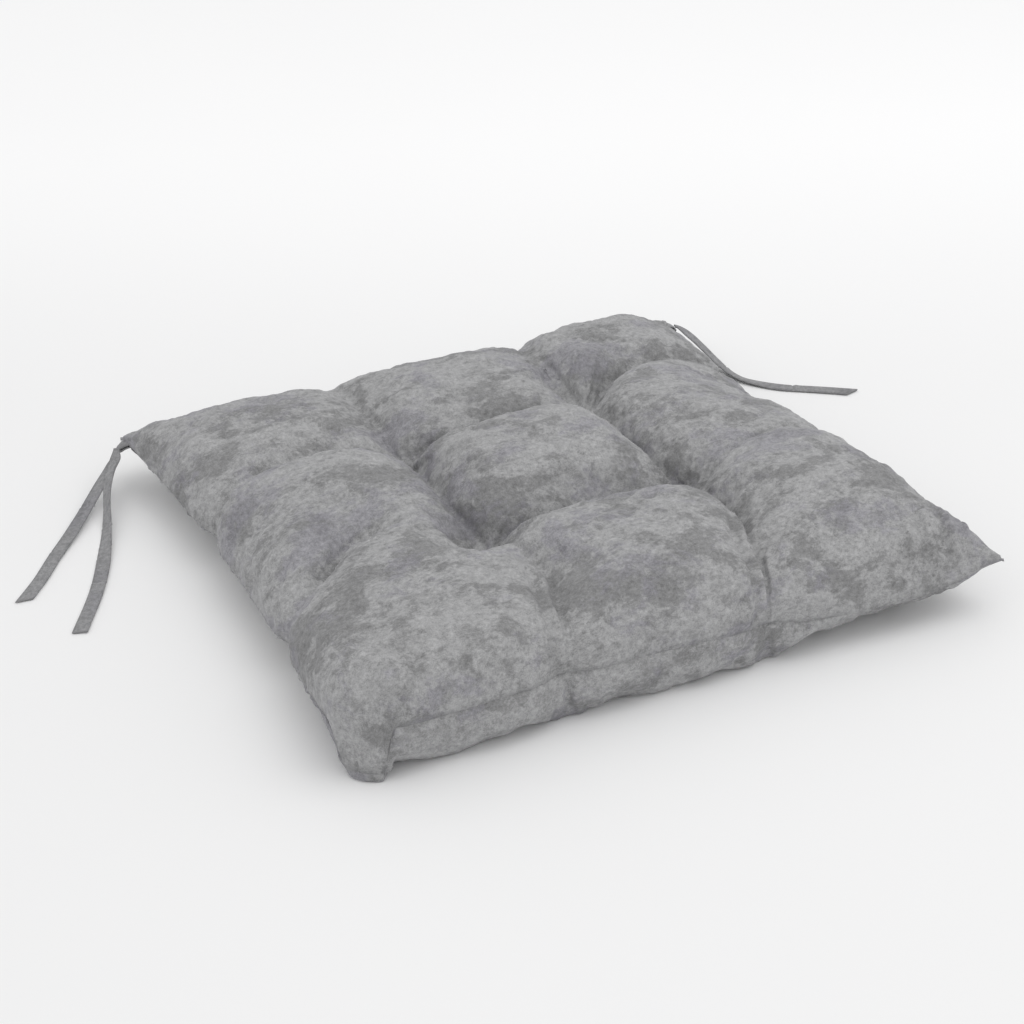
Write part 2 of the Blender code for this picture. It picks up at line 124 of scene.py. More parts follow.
# Power of the underside's front shoulder, by place along it, and where it turns slim on the right
FRONT_UNDERSIDE = ((-1, 18), (-0.45, 15), (-0.2, 10), (0.25, 7.5), (0.5, 3.8), (1, 3.8))
SLIM_ROUND = 0.80
SLIM_START = (0.30, 0.62)
# The front left corner is full and its tip is tucked in
FULL_CORNER = (-1, -1)
FULL_SHARPNESS = 7
FULL_SHOULDERS = {1: (16.0, 0.33), -1: (12.0, 0.42)}
FULL_TUCKS = (0.045, 0.030)
FULL_TUCK_SHARPNESS = 14
FULL_ROUND = 0.11

# Where the grids of points are denser: place, reach, and share by which the spacing shrinks
GRID_DENSE = ((TUFT, 0.05, 0.55), (1, 0.035, 0.72))

# Cloth simulation
SIM_CELLS = 100
SIM_FRAMES = 20
SIM_CAP = 0.007             # furthest that the air may move a point
SIM_CLOTH = {
    "quality": 8,
    "mass": 0.04,
    "tension_stiffness": 30,
    "compression_stiffness": 12,
    "shear_stiffness": 8,
    "bending_stiffness": 0.05,
    "tension_damping": 8,
    "compression_damping": 8,
    "shear_damping": 8,
    "air_damping": 2,
    "shrink_min": -0.012,
    "pin_stiffness": 50,
    "use_pressure": True,
    "uniform_pressure_force": 1.1,
}
TUFT_PIN_RADIUS = 0.0035
CORNER_PIN_REACH = 0.03
SEAM_PIN = 0.90
CREASE_PIN = 0.70
KNIFE_PIN = 0.75
KNIFE_PIN_BACK = (0.35, 0.50)
KNIFE_PIN_RIGHT = (0.55, 0.75)
NOSE_PIN = 0.97
NOSE_SHARPNESS = 24

# Finished cloth
FINE_CELLS = 288
CLOTH = 0.0012
LOWEST = 0.0003             # the cover's lowest point over the floor
INNER_LOWEST = 0.0014       # and its inner face's
PANEL_SHIFT = 0.25          # the two panels are cut from different parts of the cloth

# Seam and wrinkles
SEAM_PINCH = 0.0011
SEAM_PINCH_REACH = 0.0011
PINCH_FADE = 0.06           # share of the pad over which the pinch dies out at a corner
PUCKER_HEIGHT = 0.0007
PUCKER_REACH = 0.0095
PUCKER_LENGTHS = (0.006, 0.017)
PUCKER_STRETCH = 0.15       # a pucker's width over its length, which runs away from the seam
PUCKER_WEAKEST = 0.35
LUMP_HEIGHT = 0.0006
LUMP_LENGTHS = (0.022, 0.060)
WRINKLE_HEIGHT = 0.00022
WRINKLE_LENGTHS = (0.006, 0.014)
RELIEF_START = (0.002, 0.020)   # distance from the seam over which lumps and wrinkles set in
PATCH_LENGTHS = (0.04, 0.10)    # between stretches of seam with strong and weak puckers
# Folds: face, places along the fold on the pattern, half width, height; a fold has a ridge with
# a valley beside it, on the right of its direction
FOLDS = (
    (1, ((-0.350, -0.58), (-0.342, -0.76), (-0.330, -0.90), (-0.322, -1.0)), 0.0032, 0.0030),
    (1, ((0.275, -0.52), (0.290, -0.70), (0.296, -0.86), (0.303, -1.0)), 0.0032, 0.0030),
    (1, ((0.345, -0.84), (0.340, -0.93), (0.325, -1.0)), 0.0020, 0.0020),
    (1, ((0.790, -0.86), (0.765, -0.93), (0.750, -0.985)), 0.0027, 0.0017),
    (1, ((0.860, -0.82), (0.835, -0.91), (0.815, -0.985)), 0.0025, 0.0025),
    (1, ((0.925, -0.80), (0.905, -0.90), (0.880, -0.985)), 0.0022, 0.0023),
    (1, ((0.965, -0.86), (0.950, -0.93), (0.930, -0.985)), 0.0016, 0.0016),
    (1, ((-0.56, -0.315), (-0.70, -0.328), (-0.84, -0.335), (-0.96, -0.330)), 0.0034, 0.0024),
    (1, ((-0.80, 0.22), (-0.90, 0.10), (-0.945, -0.04)), 0.0022, 0.0013),
    (1, ((-0.87, 0.24), (-0.955, 0.08), (-0.97, -0.10)), 0.0020, 0.0012),
    (1, ((-0.80, 0.40), (-0.90, 0.27), (-0.975, 0.10)), 0.0022, 0.0014),
    (1, ((-0.315, 0.40), (-0.320, 0.60), (-0.330, 0.80)), 0.0026, 0.0017),
    (1, ((0.315, 0.38), (0.320, 0.60), (0.322, 0.85)), 0.0026, 0.0020),
    (-1, ((-0.350, -0.93), (-0.345, -0.965), (-0.330, -1.0)), 0.0020, 0.0013),
    (-1, ((-0.270, -0.93), (-0.275, -0.965), (-0.290, -1.0)), 0.0020, 0.0012),
    (-1, ((0.350, -0.93), (0.345, -0.965), (0.330, -1.0)), 0.0020, 0.0012),
    (-1, ((-0.84, -0.92), (-0.86, -0.96), (-0.87, -1.0)), 0.0020, 0.0014),
)
FOLD_STATIONS = 140
FOLD_RAMP = 0.4             # share of a fold over which it rises, and from which it dies out
FOLD_SEAM = 0.97            # a fold that ends past this runs into the seam
FOLD_VALLEY = (0.8, 1.7)    # depth over the ridge's height, and distance from it in widths
TUFT_FOLDS = 9              # short folds drawn towards each tuft
TUFT_FOLD_LENGTHS = (0.10, 0.22)
TUFT_FOLD_WIDTH = 0.0019
TUFT_FOLD_HEIGHT = 0.0013

# Filling
FILLING_CLEARANCE = 0.0034
FILLING_DROP = 0.0016
FILLING_EXTENT = 0.965
FILLING_LOWEST = 0.0020
FILLING_THINNEST = 0.0004

# Threads
TUFT_THREAD = 0.0007
TUFT_STITCH = 0.0030
# A tuft's loop over each face: shares of half the stitch across, and of its lift off the cloth
TUFT_LOOP_TOP = ((-1, -3), (-0.8, 0.6), (0, 1), (0.8, 0.6), (1, -3))
TUFT_LOOP_BOTTOM = ((-1, -3), (-0.8, 0.4), (0, 0.6), (0.8, 0.4), (1, -3))
SEAM_THREAD = 0.0005
SEAM_THREAD_INSIDE = 0.0040
SEAM_THREAD_LOWEST = 0.0025
CLOSING_HALF = 0.055
CLOSING_TURNS = 15
CLOSING_REACH = 0.0021
CLOSING_SHIFT = -0.0006
CLOSING_THREAD = 0.00045

# Folded middles of the tapes, caught in the side seams
FOLD_MIDDLE_Y = 0.191
FOLD_INSIDE = 0.0060
FOLD_HALF_HEIGHT = 0.0015   # at the seam; at its outer end the fold spans both tails' roots
FOLD_GATHER = 0.48          # share of the width gathered in at the outer end
FOLD_GAP = 0.0002

# Tie tapes: routes as in the part
TAPE_WIDTH = 0.0090
TAPE_THICKNESS = 0.0012
TAPE_STATIONS = 150
TAPE_GATHERED = 0.45        # share of the width left at the root, which opens out along TAPE_OPENING
TAPE_OPENING = 0.010
TAPE_CREASE_DEPTHS = (0.00035, 0.00065)
TAPE_VALLEY = 0.0009
TAPE_RIDGE = 0.0014
TAPE_RIDGE_AT = 0.0022
TAPE_CUP = (0.00022, 0.019)     # height and length of its waves: edges against middle
TAPE_SWAY = (0.00025, 0.0135)   # and from side to side
TAPE_END = 0.020            # length over which a slanted end is cut back
TAPE_LOWEST = 0.0002
# Each tape is cut from its own part of the cloth
TIE_CLOTH_START = 0.5
TIE_CLOTH_STEP = 0.13
FOLD_CLOTH_START = 0.9
TIE_ROUTES = {
    "tie_left_front": (
        (-0.2049, 0.1906, 0.0262), (-0.2085, 0.1840, 0.0218), (-0.2150, 0.1765, 0.0162),
        (-0.2205, 0.1650, 0.0118), (-0.2257, 0.1490, 0.0072), (-0.2320, 0.1280, 0.0032),
        (-0.2400, 0.1045, 0.0013), (-0.2510, 0.0765, 0.0010), (-0.2630, 0.0500, 0.0010),
        (-0.2780, 0.0220, 0.0010),
    ),
    "tie_left_rear": (
        (-0.2050, 0.1907, 0.0236), (-0.2105, 0.1870, 0.0172), (-0.2220, 0.1765, 0.0105),
        (-0.2360, 0.1590, 0.0056), (-0.2530, 0.1370, 0.0024), (-0.2680, 0.1165, 0.0011),
        (-0.2830, 0.0930, 0.0010), (-0.3000, 0.0710, 0.0010),
    ),
    "tie_right_front": (
        (0.2050, 0.1908, 0.0238), (0.2080, 0.1900, 0.0222), (0.2120, 0.1868, 0.0188),
        (0.2155, 0.1815, 0.0150), (0.2185, 0.1740, 0.0108), (0.2205, 0.1620, 0.0068),
        (0.2222, 0.1480, 0.0036), (0.2260, 0.1340, 0.0018), (0.2335, 0.1220, 0.0012),
        (0.2450, 0.1090, 0.0010), (0.2620, 0.0960, 0.0010), (0.2860, 0.0770, 0.0010),
    ),
    "tie_right_rear": (
        (0.2048, 0.1914, 0.0202), (0.2050, 0.1990, 0.0130), (0.2000, 0.2080, 0.0072),
        (0.1880, 0.2145, 0.0034), (0.1720, 0.2180, 0.0014), (0.1500, 0.2205, 0.0010),
        (0.1260, 0.2215, 0.0010), (0.1000, 0.2215, 0.0010), (0.0700, 0.2205, 0.0010),
        (0.0450, 0.2195, 0.0010),
    ),
}
# Roll of each tape about its own line, as (share of its length, degrees)
TIE_ROLLS = {
    "tie_left_front": ((0.0, 10), (0.10, 35), (0.24, 62), (0.40, 40), (0.58, 4), (1.0, 0)),
    "tie_left_rear": ((0.0, 10), (0.2, 12), (0.5, 4), (1.0, 0)),
    "tie_right_front": ((0.0, 0), (0.2, -25), (0.40, -25), (0.62, -2), (1.0, 0)),
    "tie_right_rear": ((0.0, 0), (0.2, 10), (0.5, 2), (1.0, 0)),
}
# How far back the end is cut on a slant, and towards which edge
TIE_SLANTS = {
    "tie_left_front": 0.0015,
    "tie_left_rear": 0.0060,
    "tie_right_front": -0.0065,
    "tie_right_rear": 0.0020,
}
# Creases across a tape, as shares of its length
TIE_CREASES = {
    "tie_left_front": (0.36, 0.47, 0.555, 0.70),
    "tie_left_rear": (0.30, 0.62),
    "tie_right_front": (0.33, 0.71),
    "tie_right_rear": (0.24, 0.66),
}

# Colours
COVER_LIGHT = (0.338, 0.338, 0.341, 1)
COVER_NEUTRAL = (0.203, 0.203, 0.204, 1)
COVER_TINTED = (0.232, 0.226, 0.256, 1)
TIE_LIGHT = (0.27, 0.27, 0.275, 1)
TIE_NEUTRAL = (0.19, 0.19, 0.195, 1)
TIE_TINTED = (0.20, 0.196, 0.22, 1)
TIE_PATCHINESS = 0.6        # against 1 for the cover
SHEEN_TINT = (0.80, 0.80, 0.84, 1)
THREAD_COLOUR = (0.25, 0.25, 0.262)
FIBRE_COLOUR = (0.86, 0.86, 0.84)
FLOOR_COLOUR = (0.86, 0.86, 0.862)

# Floor and light
FLOOR_REACH = 40.0
FLOOR_AWAY = (0.40, 0.91)   # direction in which painted light makes the floor brighter, X and Y
FLOOR_PAINTED_LIGHT = (0.15, 0.75, 1.115)   # painted light on the floor: from this distance, up to this one, by this factor
WORLD_LIGHT = 0.90
KEY_PLACE = (0.55, -0.35, 1.75)
KEY_SIZE = 1.4
KEY_POWER = 6.5

# Inputs and output of a mix node when it mixes colours
MIX_SHARE, MIX_FIRST, MIX_SECOND, MIX_RESULT = 0, 6, 7, 2

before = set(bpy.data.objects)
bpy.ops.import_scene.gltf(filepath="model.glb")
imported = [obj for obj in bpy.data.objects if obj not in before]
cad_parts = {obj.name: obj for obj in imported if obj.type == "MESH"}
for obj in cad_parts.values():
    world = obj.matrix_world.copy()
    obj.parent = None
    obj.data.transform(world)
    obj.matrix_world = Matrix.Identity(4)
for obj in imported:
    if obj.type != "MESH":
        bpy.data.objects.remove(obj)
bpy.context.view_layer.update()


# ---- helpers


def add_object(name, points, faces, material=None):
    data = bpy.data.meshes.new(name)
    data.from_pydata([tuple(p) for p in points], [], faces)
    data.validate()
    data.shade_smooth()
    if material is not None:
        data.materials.append(material)
    obj = bpy.data.objects.new(name, data)
    bpy.context.scene.collection.objects.link(obj)
    return obj


def grid_quads(grid, up):
    """Quads between the neighbours of a grid of point numbers."""
    corners = [grid[:-1, :-1], grid[:-1, 1:], grid[1:, 1:], grid[1:, :-1]]
    return np.stack(corners if up else corners[::-1], axis=-1).reshape(-1, 4)


def rim_of(grid):
    """A grid's outermost entries, once round."""
    return np.concatenate([grid[0, :-1], grid[:-1, -1], grid[-1, :0:-1], grid[:0:-1, 0]])


def ring_faces(rows, size, closed=False):
    """Quads of a tube made of rings of points, size to a ring."""
    faces = []
    for row in range(rows if closed else rows - 1):
        here, after = row * size, (row + 1) % rows * size
        for k in range(size):
            turned = (k + 1) % size
            faces.append((here + k, here + turned, after + turned, after + k))
    return faces


def end_faces(rows, size, flipped):
    """Quads that close the two ends of a flat tube, from one face of it to the other."""
    faces = []
    for row, flip in ((0, flipped), (rows - 1, not flipped)):
        start = row * size
        for k in range(size // 2 - 1):
            quad = (start + k, start + size - 1 - k, start + size - 2 - k, start + k + 1)
            faces.append(quad[::-1] if flip else quad)
    return faces


def catmull_rom(before, start, end, after, t):
    return 0.5 * (
        2 * start
        + (end - before) * t
        + (2 * before - 5 * start + 4 * end - after) * t**2
        + (3 * start - before - 3 * end + after) * t**3
    )


def smooth_curve(points, count):
    """Evenly spaced points along a Catmull-Rom curve, and its length."""
    route = np.array(points, float)
    route = np.vstack([2 * route[0] - route[1], route, 2 * route[-1] - route[-2]])
    dense = []
    for index in range(1, len(route) - 2):
        for t in np.arange(24) / 24:
            dense.append(catmull_rom(*route[index - 1 : index + 3], t))
    dense.append(route[-2])
    dense = np.array(dense)
    steps = np.linalg.norm(np.diff(dense, axis=0), axis=1)
    place = np.concatenate([[0], np.cumsum(steps)])
    wanted = np.linspace(0, place[-1], count)
    spaced = np.stack([np.interp(wanted, place, column) for column in dense.T], axis=1)
    return spaced, float(place[-1])


def smoothstep(low, high, value):
    t = np.clip((value - low) / (high - low), 0, 1)
    return t * t * (3 - 2 * t)


def unit(vectors):
    return vectors / np.maximum(np.linalg.norm(vectors, axis=-1, keepdims=True), 1e-12)


def tube(name, path, radius, material, closed=False, sides=8):
    """A round thread along a path."""
    path = np.asarray(path, float)
    if closed:
        along = unit(np.roll(path, -1, axis=0) - np.roll(path, 1, axis=0))
    else:
        along = unit(np.gradient(path, axis=0))
    across = np.zeros_like(path)
    start = np.cross(along[0], (0.3, 0.2, 1.0))
    across[0] = start / np.linalg.norm(start)
    for k in range(1, len(path)):
        kept = across[k - 1] - along[k] * np.dot(across[k - 1], along[k])
        across[k] = kept / np.linalg.norm(kept)
    over = np.cross(along, across)
    turn = np.arange(sides) / sides * 2 * math.pi
    ring = np.cos(turn)[None, :, None] * across[:, None] + np.sin(turn)[None, :, None] * over[:, None]
    points = (path[:, None] + radius * ring).reshape(-1, 3)
    faces = ring_faces(len(path), sides, closed)
    if not closed:
        last = (len(path) - 1) * sides
        faces.append(tuple(range(sides))[::-1])
        faces.append(tuple(last + i for i in range(sides)))
    return add_object(name, points, faces, material)


# ---- camera


def make_camera():
    azimuth, elevation = math.radians(CAMERA_AZIMUTH), math.radians(CAMERA_ELEVATION)
    level = math.cos(elevation)
    back = Vector((math.sin(azimuth) * level, -math.cos(azimuth) * level, math.sin(elevation)))
    right = Vector((math.cos(azimuth), math.sin(azimuth), 0))
    up = back.cross(right)
    roll = math.radians(CAMERA_ROLL)
    turned_right = right * math.cos(roll) + up * math.sin(roll)
    turned_up = up * math.cos(roll) - right * math.sin(roll)
    data = bpy.data.cameras.new("camera")
    data.sensor_width = CAMERA_SENSOR
    data.lens = CAMERA_LENS
    data.clip_start = 0.05
    data.clip_end = 50
    obj = bpy.data.objects.new("camera", data)
    bpy.context.scene.collection.objects.link(obj)
    axes = Matrix((turned_right, turned_up, back)).transposed()
    place = Vector(CAMERA_TARGET) + back * CAMERA_DISTANCE
    obj.matrix_world = Matrix.Translation(place) @ axes.to_4x4()
    bpy.context.scene.camera = obj


# ---- materials


class Graph:
    """Shorthand for building one material's nodes."""

    def __init__(self, name):
        self.material = bpy.data.materials.new(name)
        self.material.use_nodes = True
        self.nodes = self.material.node_tree.nodes
        self.links = self.material.node_tree.links
        self.shader = self.nodes["Principled BSDF"]

    def add(self, kind, inputs=(), **settings):
        node = self.nodes.new(kind)
        for key, value in settings.items():
            setattr(node, key, value)
        for key, value in dict(inputs).items():
            self.put(node.inputs[key], value)
        return node

    def put(self, socket, value):
        if isinstance(value, bpy.types.NodeSocket):
            self.links.new(value, socket)
        else:
            socket.default_value = value

    def math(self, operation, a, b):
        node = self.add("ShaderNodeMath", operation=operation)
        self.put(node.inputs[0], a)
        self.put(node.inputs[1], b)
        return node.outputs[0]

    def plus(self, a, b):
        return self.math("ADD", a, b)

    def times(self, a, b):
        return self.math("MULTIPLY", a, b)

    def span(self, value, low, high, to_low=0.0, to_high=1.0):
        node = self.add(
            "ShaderNodeMapRange",
            {"Value": value, "From Min": low, "From Max": high, "To Min": to_low, "To Max": to_high},
            interpolation_type="SMOOTHSTEP",
        )
        return node.outputs["Result"]

    def scaled(self, vector, scale, shift=(0, 0, 0)):
        node = self.add("ShaderNodeMapping", {"Vector": vector, "Scale": scale, "Location": shift})
        return node.outputs["Vector"]

    def noise_node(self, vector, scale, detail, roughness=0.5, distortion=0.0):
        values = {"Scale": scale, "Detail": detail, "Roughness": roughness, "Distortion": distortion}
        return self.add("ShaderNodeTexNoise", {"Vector": vector, **values})

    def noise(self, *values):
        return self.noise_node(*values).outputs["Fac"]

    def mix(self, share, first, second):
        node = self.add("ShaderNodeMix", data_type="RGBA")
        for socket, value in ((MIX_SHARE, share), (MIX_FIRST, first), (MIX_SECOND, second)):
            self.put(node.inputs[socket], value)
        return node.outputs[MIX_RESULT]

    def vector_math(self, operation, first, second):
        node = self.add("ShaderNodeVectorMath", operation=operation)
        self.put(node.inputs[0], first)
        self.put(node.inputs["Scale" if operation == "SCALE" else 1], second)
        return node.outputs[0]

    def bent(self, vector, scale, reach):
        """The coordinates pushed about by a soft noise, so that streaks wander."""
        push = self.noise_node(vector, scale, 1.0).outputs["Color"]
        centred = self.vector_math("SUBTRACT", push, (0.5, 0.5, 0.5))
        return self.vector_math("ADD", vector, self.vector_math("SCALE", centred, reach))

    def surface(self, colour, shade, roughness):
        self.put(self.shader.inputs["Base Color"], self.vector_math("SCALE", colour, shade))
        self.put(self.shader.inputs["Roughness"], roughness)

    def bump(self, height, strength, distance):
        node = self.add("ShaderNodeBump", {"Height": height, "Strength": strength, "Distance": distance})
        self.put(self.shader.inputs["Normal"], node.outputs["Normal"])

    def sheen(self, weight, roughness=0.5, tint=(1, 1, 1, 1)):
        self.shader.inputs["Sheen Weight"].default_value = weight
        self.shader.inputs["Sheen Roughness"].default_value = roughness
        self.shader.inputs["Sheen Tint"].default_value = tint


def nap_material(name, light, neutral, tinted, patchiness):
    """Brushed suede-like cloth: pile lying both ways in ragged patches of short dabs."""
    graph = Graph(name)
    flat = graph.add("ShaderNodeAttribute", attribute_name="cloth").outputs["Vector"]
    bent = graph.bent(flat, 18.0, 0.016)
    wavy = graph.bent(bent, 90.0, 0.0035)

    # Dabs lie along the cloth in some places and across it in others
    moved = graph.scaled(flat, (1, 1, 1), (0.3, 0.6, 0.1))
    turned = graph.span(graph.noise(moved, 13.0, 1.0), 0.44, 0.56)

    def dabs(long, short, detail, roughness):
        along = graph.noise(graph.scaled(wavy, (long, short, short)), 1.0, detail, roughness)
        across = graph.noise(graph.scaled(wavy, (short, long, short)), 1.0, detail, roughness)
        kept = graph.times(along, graph.math("SUBTRACT", 1.0, turned))
        return graph.plus(kept, graph.times(across, turned))

    streak = dabs(150, 250, 5.0, 0.75)
    fine_streak = dabs(380, 600, 2.0, 0.7)
    mottle = graph.noise(flat, 330.0, 3.0, 0.7)
    speckle = graph.noise(flat, 1500.0, 1.0, 0.6)

    def patches(shift, scale, low, high):
        cloud = graph.noise(graph.scaled(bent, (0.85, 1.1, 1), shift), scale, 5.0, 0.70, 0.25)
        return graph.span(graph.plus(graph.times(cloud, 0.78), graph.times(streak, 0.22)), low, high)

    dark = patches((0, 0, 0), 30.0, 0.490, 0.560)
    violet = patches((0.37, 0.11, 0.2), 20.0, 0.510, 0.585)
    small = patches((0.81, 0.43, 0.7), 75.0, 0.500, 0.575)

    colour = graph.mix(graph.times(dark, 0.82 * patchiness), light, neutral)
    colour = graph.mix(graph.times(violet, 0.55 * patchiness), colour, tinted)
    colour = graph.mix(graph.times(small, 0.40 * patchiness), colour, neutral)
    streaks = graph.plus(
        graph.span(streak, 0.25, 0.75, 0.87, 1.13), graph.span(fine_streak, 0.25, 0.75, -0.11, 0.11)
    )
    grains = graph.plus(
        graph.span(mottle, 0.25, 0.75, -0.17, 0.17), graph.span(speckle, 0.2, 0.8, -0.14, 0.14)
    )
    graph.surface(colour, graph.plus(streaks, grains), graph.span(streak, 0.25, 0.75, 0.80, 0.95))
    fine_pile = graph.plus(graph.times(fine_streak, 0.35), graph.times(mottle, 0.3))
    graph.bump(graph.plus(graph.times(streak, 0.5), fine_pile), 0.35, 0.0006)
    graph.shader.inputs["Specular IOR Level"].default_value = 0.15
    graph.sheen(0.15, 0.45, SHEEN_TINT)
    return graph.material


def thread_material(name):
    """Twisted thread: fine slanting stripes from the object's own coordinates."""
    graph = Graph(name)
    place = graph.add("ShaderNodeTexCoord").outputs["Object"]
    twist = graph.add(
        "ShaderNodeTexWave",
        {"Vector": graph.scaled(place, (1, 1, 1.4)), "Scale": 420.0, "Distortion": 1.5, "Detail": 1.0},
        bands_direction="DIAGONAL",
    ).outputs["Fac"]
    fuzz = graph.noise(place, 2500.0, 2.0)
    shade = graph.plus(graph.span(twist, 0, 1, 0.72, 1.08), graph.span(fuzz, 0.2, 0.8, -0.1, 0.1))
    graph.surface(THREAD_COLOUR, shade, graph.span(fuzz, 0.2, 0.8, 0.6, 0.85))
    graph.bump(twist, 0.5, 0.0002)
    graph.shader.inputs["Specular IOR Level"].default_value = 0.3
    return graph.material


def fibre_material():
    """Loose white polyester fibre: tangled strands at several sizes."""
    graph = Graph("fibre")
    place = graph.add("ShaderNodeTexCoord").outputs["Object"]
    bent = graph.bent(place, 60.0, 0.02)
    strands = graph.noise(graph.scaled(bent, (500, 90, 160)), 1.0, 4.0, 0.7)
    clumps = graph.noise(bent, 55.0, 3.0, 0.6)
    shade = graph.plus(
        graph.span(strands, 0.25, 0.75, 0.80, 1.0), graph.span(clumps, 0.2, 0.8, -0.12, 0.04)
    )
    graph.surface(FIBRE_COLOUR, shade, graph.span(clumps, 0.2, 0.8, 0.85, 1.0))
    graph.bump(strands, 0.8, 0.001)
    graph.sheen(0.4)
    return graph.material


# ---- ties


def tape_section():
    """A tape's outline: places across it, -1 to 1, and thickness there as a share of the whole."""
    across = np.array([-1.0, -0.93, -0.84, -0.78, -0.72, -0.60, -0.3, 0.0, 0.3, 0.60, 0.84, 0.95, 1.0])
    top = np.array([0.20, 0.85, 1.15, 0.62, 1.05, 1.0, 0.92, 0.88, 0.92, 1.0, 1.12, 0.9, 0.20])
    return across, top


def tape_frame(name, route, share):
    """Directions across and up from a tape at each station, rolled as its table says."""
    along = unit(np.gradient(route, axis=0))
    across = unit(np.cross((0, 0, 1), along))
    up = np.cross(along, across)
    keys = np.array(TIE_ROLLS[name], float)
    roll = np.radians(np.interp(share, keys[:, 0], keys[:, 1]))
    roll = np.convolve(np.pad(roll, 6, mode="edge"), np.ones(13) / 13, mode="valid")[:, None]
    return across * np.cos(roll) + up * np.sin(roll), up * np.cos(roll) - across * np.sin(roll)


def tape_creases(name, draw, away, section):
    """Relief of the creases across a tape: a narrow valley and a soft ridge beyond it."""
    relief = np.zeros((len(away), len(section)))
    for place in TIE_CREASES[name]:
        slant = draw.uniform(-0.010, 0.010)
        depth = draw.uniform(*TAPE_CREASE_DEPTHS)
        offset = away[:, None] / away[-1] - place - slant * section[None, :]
        valley = np.exp(-((offset * away[-1] / TAPE_VALLEY) ** 2))
        ridge = np.exp(-(((offset * away[-1] - TAPE_RIDGE_AT) / TAPE_RIDGE) ** 2))
        relief += depth * (0.55 * ridge - valley)
    return relief


def make_tape(name, material):
    """A folded and stitched tape along its route."""
    route, length = smooth_curve(TIE_ROUTES[name], TAPE_STATIONS)
    share = np.linspace(0, 1, TAPE_STATIONS)
    away = share * length
    across, up = tape_frame(name, route, share)
    draw = np.random.default_rng(sum(map(ord, name)))
    section, thickness = tape_section()
    crease = tape_creases(name, draw, away, section)
    cup = TAPE_CUP[0] * np.sin(away / TAPE_CUP[1] + draw.uniform(0, 6))[:, None]
    sway = TAPE_SWAY[0] * np.sin(away / TAPE_SWAY[1] + draw.uniform(0, 6))[:, None]

    slant = TIE_SLANTS[name]
    cut = smoothstep(1 - TAPE_END / length, 1, share)[:, None]
    back = abs(slant) * (0.5 + 0.5 * np.sign(slant) * section[None, :]) * cut
    at = np.clip(share[:, None] - back / length, 0, 1)

    def read_at(values):
        return np.stack([np.interp(at, share, column) for column in values.T], axis=-1)

    centre, across, up = read_at(route), read_at(across), read_at(up)
    opened = TAPE_GATHERED + (1 - TAPE_GATHERED) * smoothstep(0, TAPE_OPENING, away)
    half = TAPE_WIDTH / 2 * opened[:, None] * section[None, :] + sway
    lift = crease + cup * (section[None, :] ** 2 - 0.4)
    thick = TAPE_THICKNESS / 2 * thickness[None, :]
    upper = centre + across * half[..., None] + up * (lift + thick)[..., None]
    under = centre + across * half[..., None] + up * (lift - thick)[..., None]
    ring = np.concatenate([upper, under[:, ::-1]], axis=1)
    ring[..., 2] = np.maximum(ring[..., 2], TAPE_LOWEST)
    size = 2 * len(section)
    faces = ring_faces(TAPE_STATIONS, size) + end_faces(TAPE_STATIONS, size, False)
    obj = add_object(name + "_tape", ring.reshape(-1, 3), faces, material)
    flat = np.zeros((TAPE_STATIONS, size, 3))
    flat[..., 0] = away[:, None]
    flat[..., 1] = np.concatenate([half, half[:, ::-1] + TAPE_WIDTH], axis=1)
    flat[..., 2] = TIE_CLOTH_START + TIE_CLOTH_STEP * list(TIE_ROUTES).index(name)
    set_cloth(obj, flat.reshape(-1, 3))
    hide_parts(name)
    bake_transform(obj)


def set_cloth(obj, flat):
    """Stores each point's place on its flat cloth, in metres."""
    attribute = obj.data.attributes.new("cloth", "FLOAT_VECTOR", "POINT")
    attribute.data.foreach_set("vector", np.asarray(flat, np.float32).ravel())


# ---- pad shape


def along_line(keys, t):
    """Smooth reading of a table of (place, value)."""
    dense, _ = smooth_curve(keys, 400)
    return np.interp(t, dense[:, 0], dense[:, 1])


def warp(s, t):
    """Where a point of the tufting pattern lies on the pad, -1 to 1 both ways."""

    def reach(value, line):
        edge_fade = (1 - value**2) / (1 - TUFT**2)
        return np.exp(-(((value - line) / WARP_REACH) ** 2)) * edge_fade

    def moved(place, low_line, high_line, other):
        low = (along_line(low_line, other) + TUFT) * reach(place, -TUFT)
        high = (along_line(high_line, other) - TUFT) * reach(place, TUFT)
        return place + low + high

    return moved(s, LEFT_LINE, RIGHT_LINE, t), moved(t, FRONT_LINE, BACK_LINE, s)


def notch_share(t):
    """1 where a tuft line meets the seam, falling to 0 to both sides."""
    return np.exp(-(((np.abs(t) - TUFT) / NOTCH_HALF) ** 2))


def side_pull(t, pattern_t, low_bow, high_bow, other):
    """How far in a side stands at t along it; other is the coordinate across, -1 to 1."""
    bow = np.where(other < 0, low_bow, high_bow)
    return bow * (1 - t * t) + NOTCH_PULL * notch_share(pattern_t)


def corner_share(u, v, corner, sharpness):
    """1 at a corner of the pad, falling away from it."""
    return ((1 + corner[0] * u) * (1 + corner[1] * v) / 4) ** sharpness


def rounded_corner(u, v):
    """Places on the pad, moved in where the full corner is round in plan."""
    across = np.clip((FULL_ROUND - 1 - u) / FULL_ROUND, 0, 1)
    along = np.clip((FULL_ROUND - 1 - v) / FULL_ROUND, 0, 1)
    moved_u = u + FULL_ROUND * across * (1 - np.sqrt(1 - along**2 / 2))
    moved_v = v + FULL_ROUND * along * (1 - np.sqrt(1 - across**2 / 2))
    return moved_u, moved_v


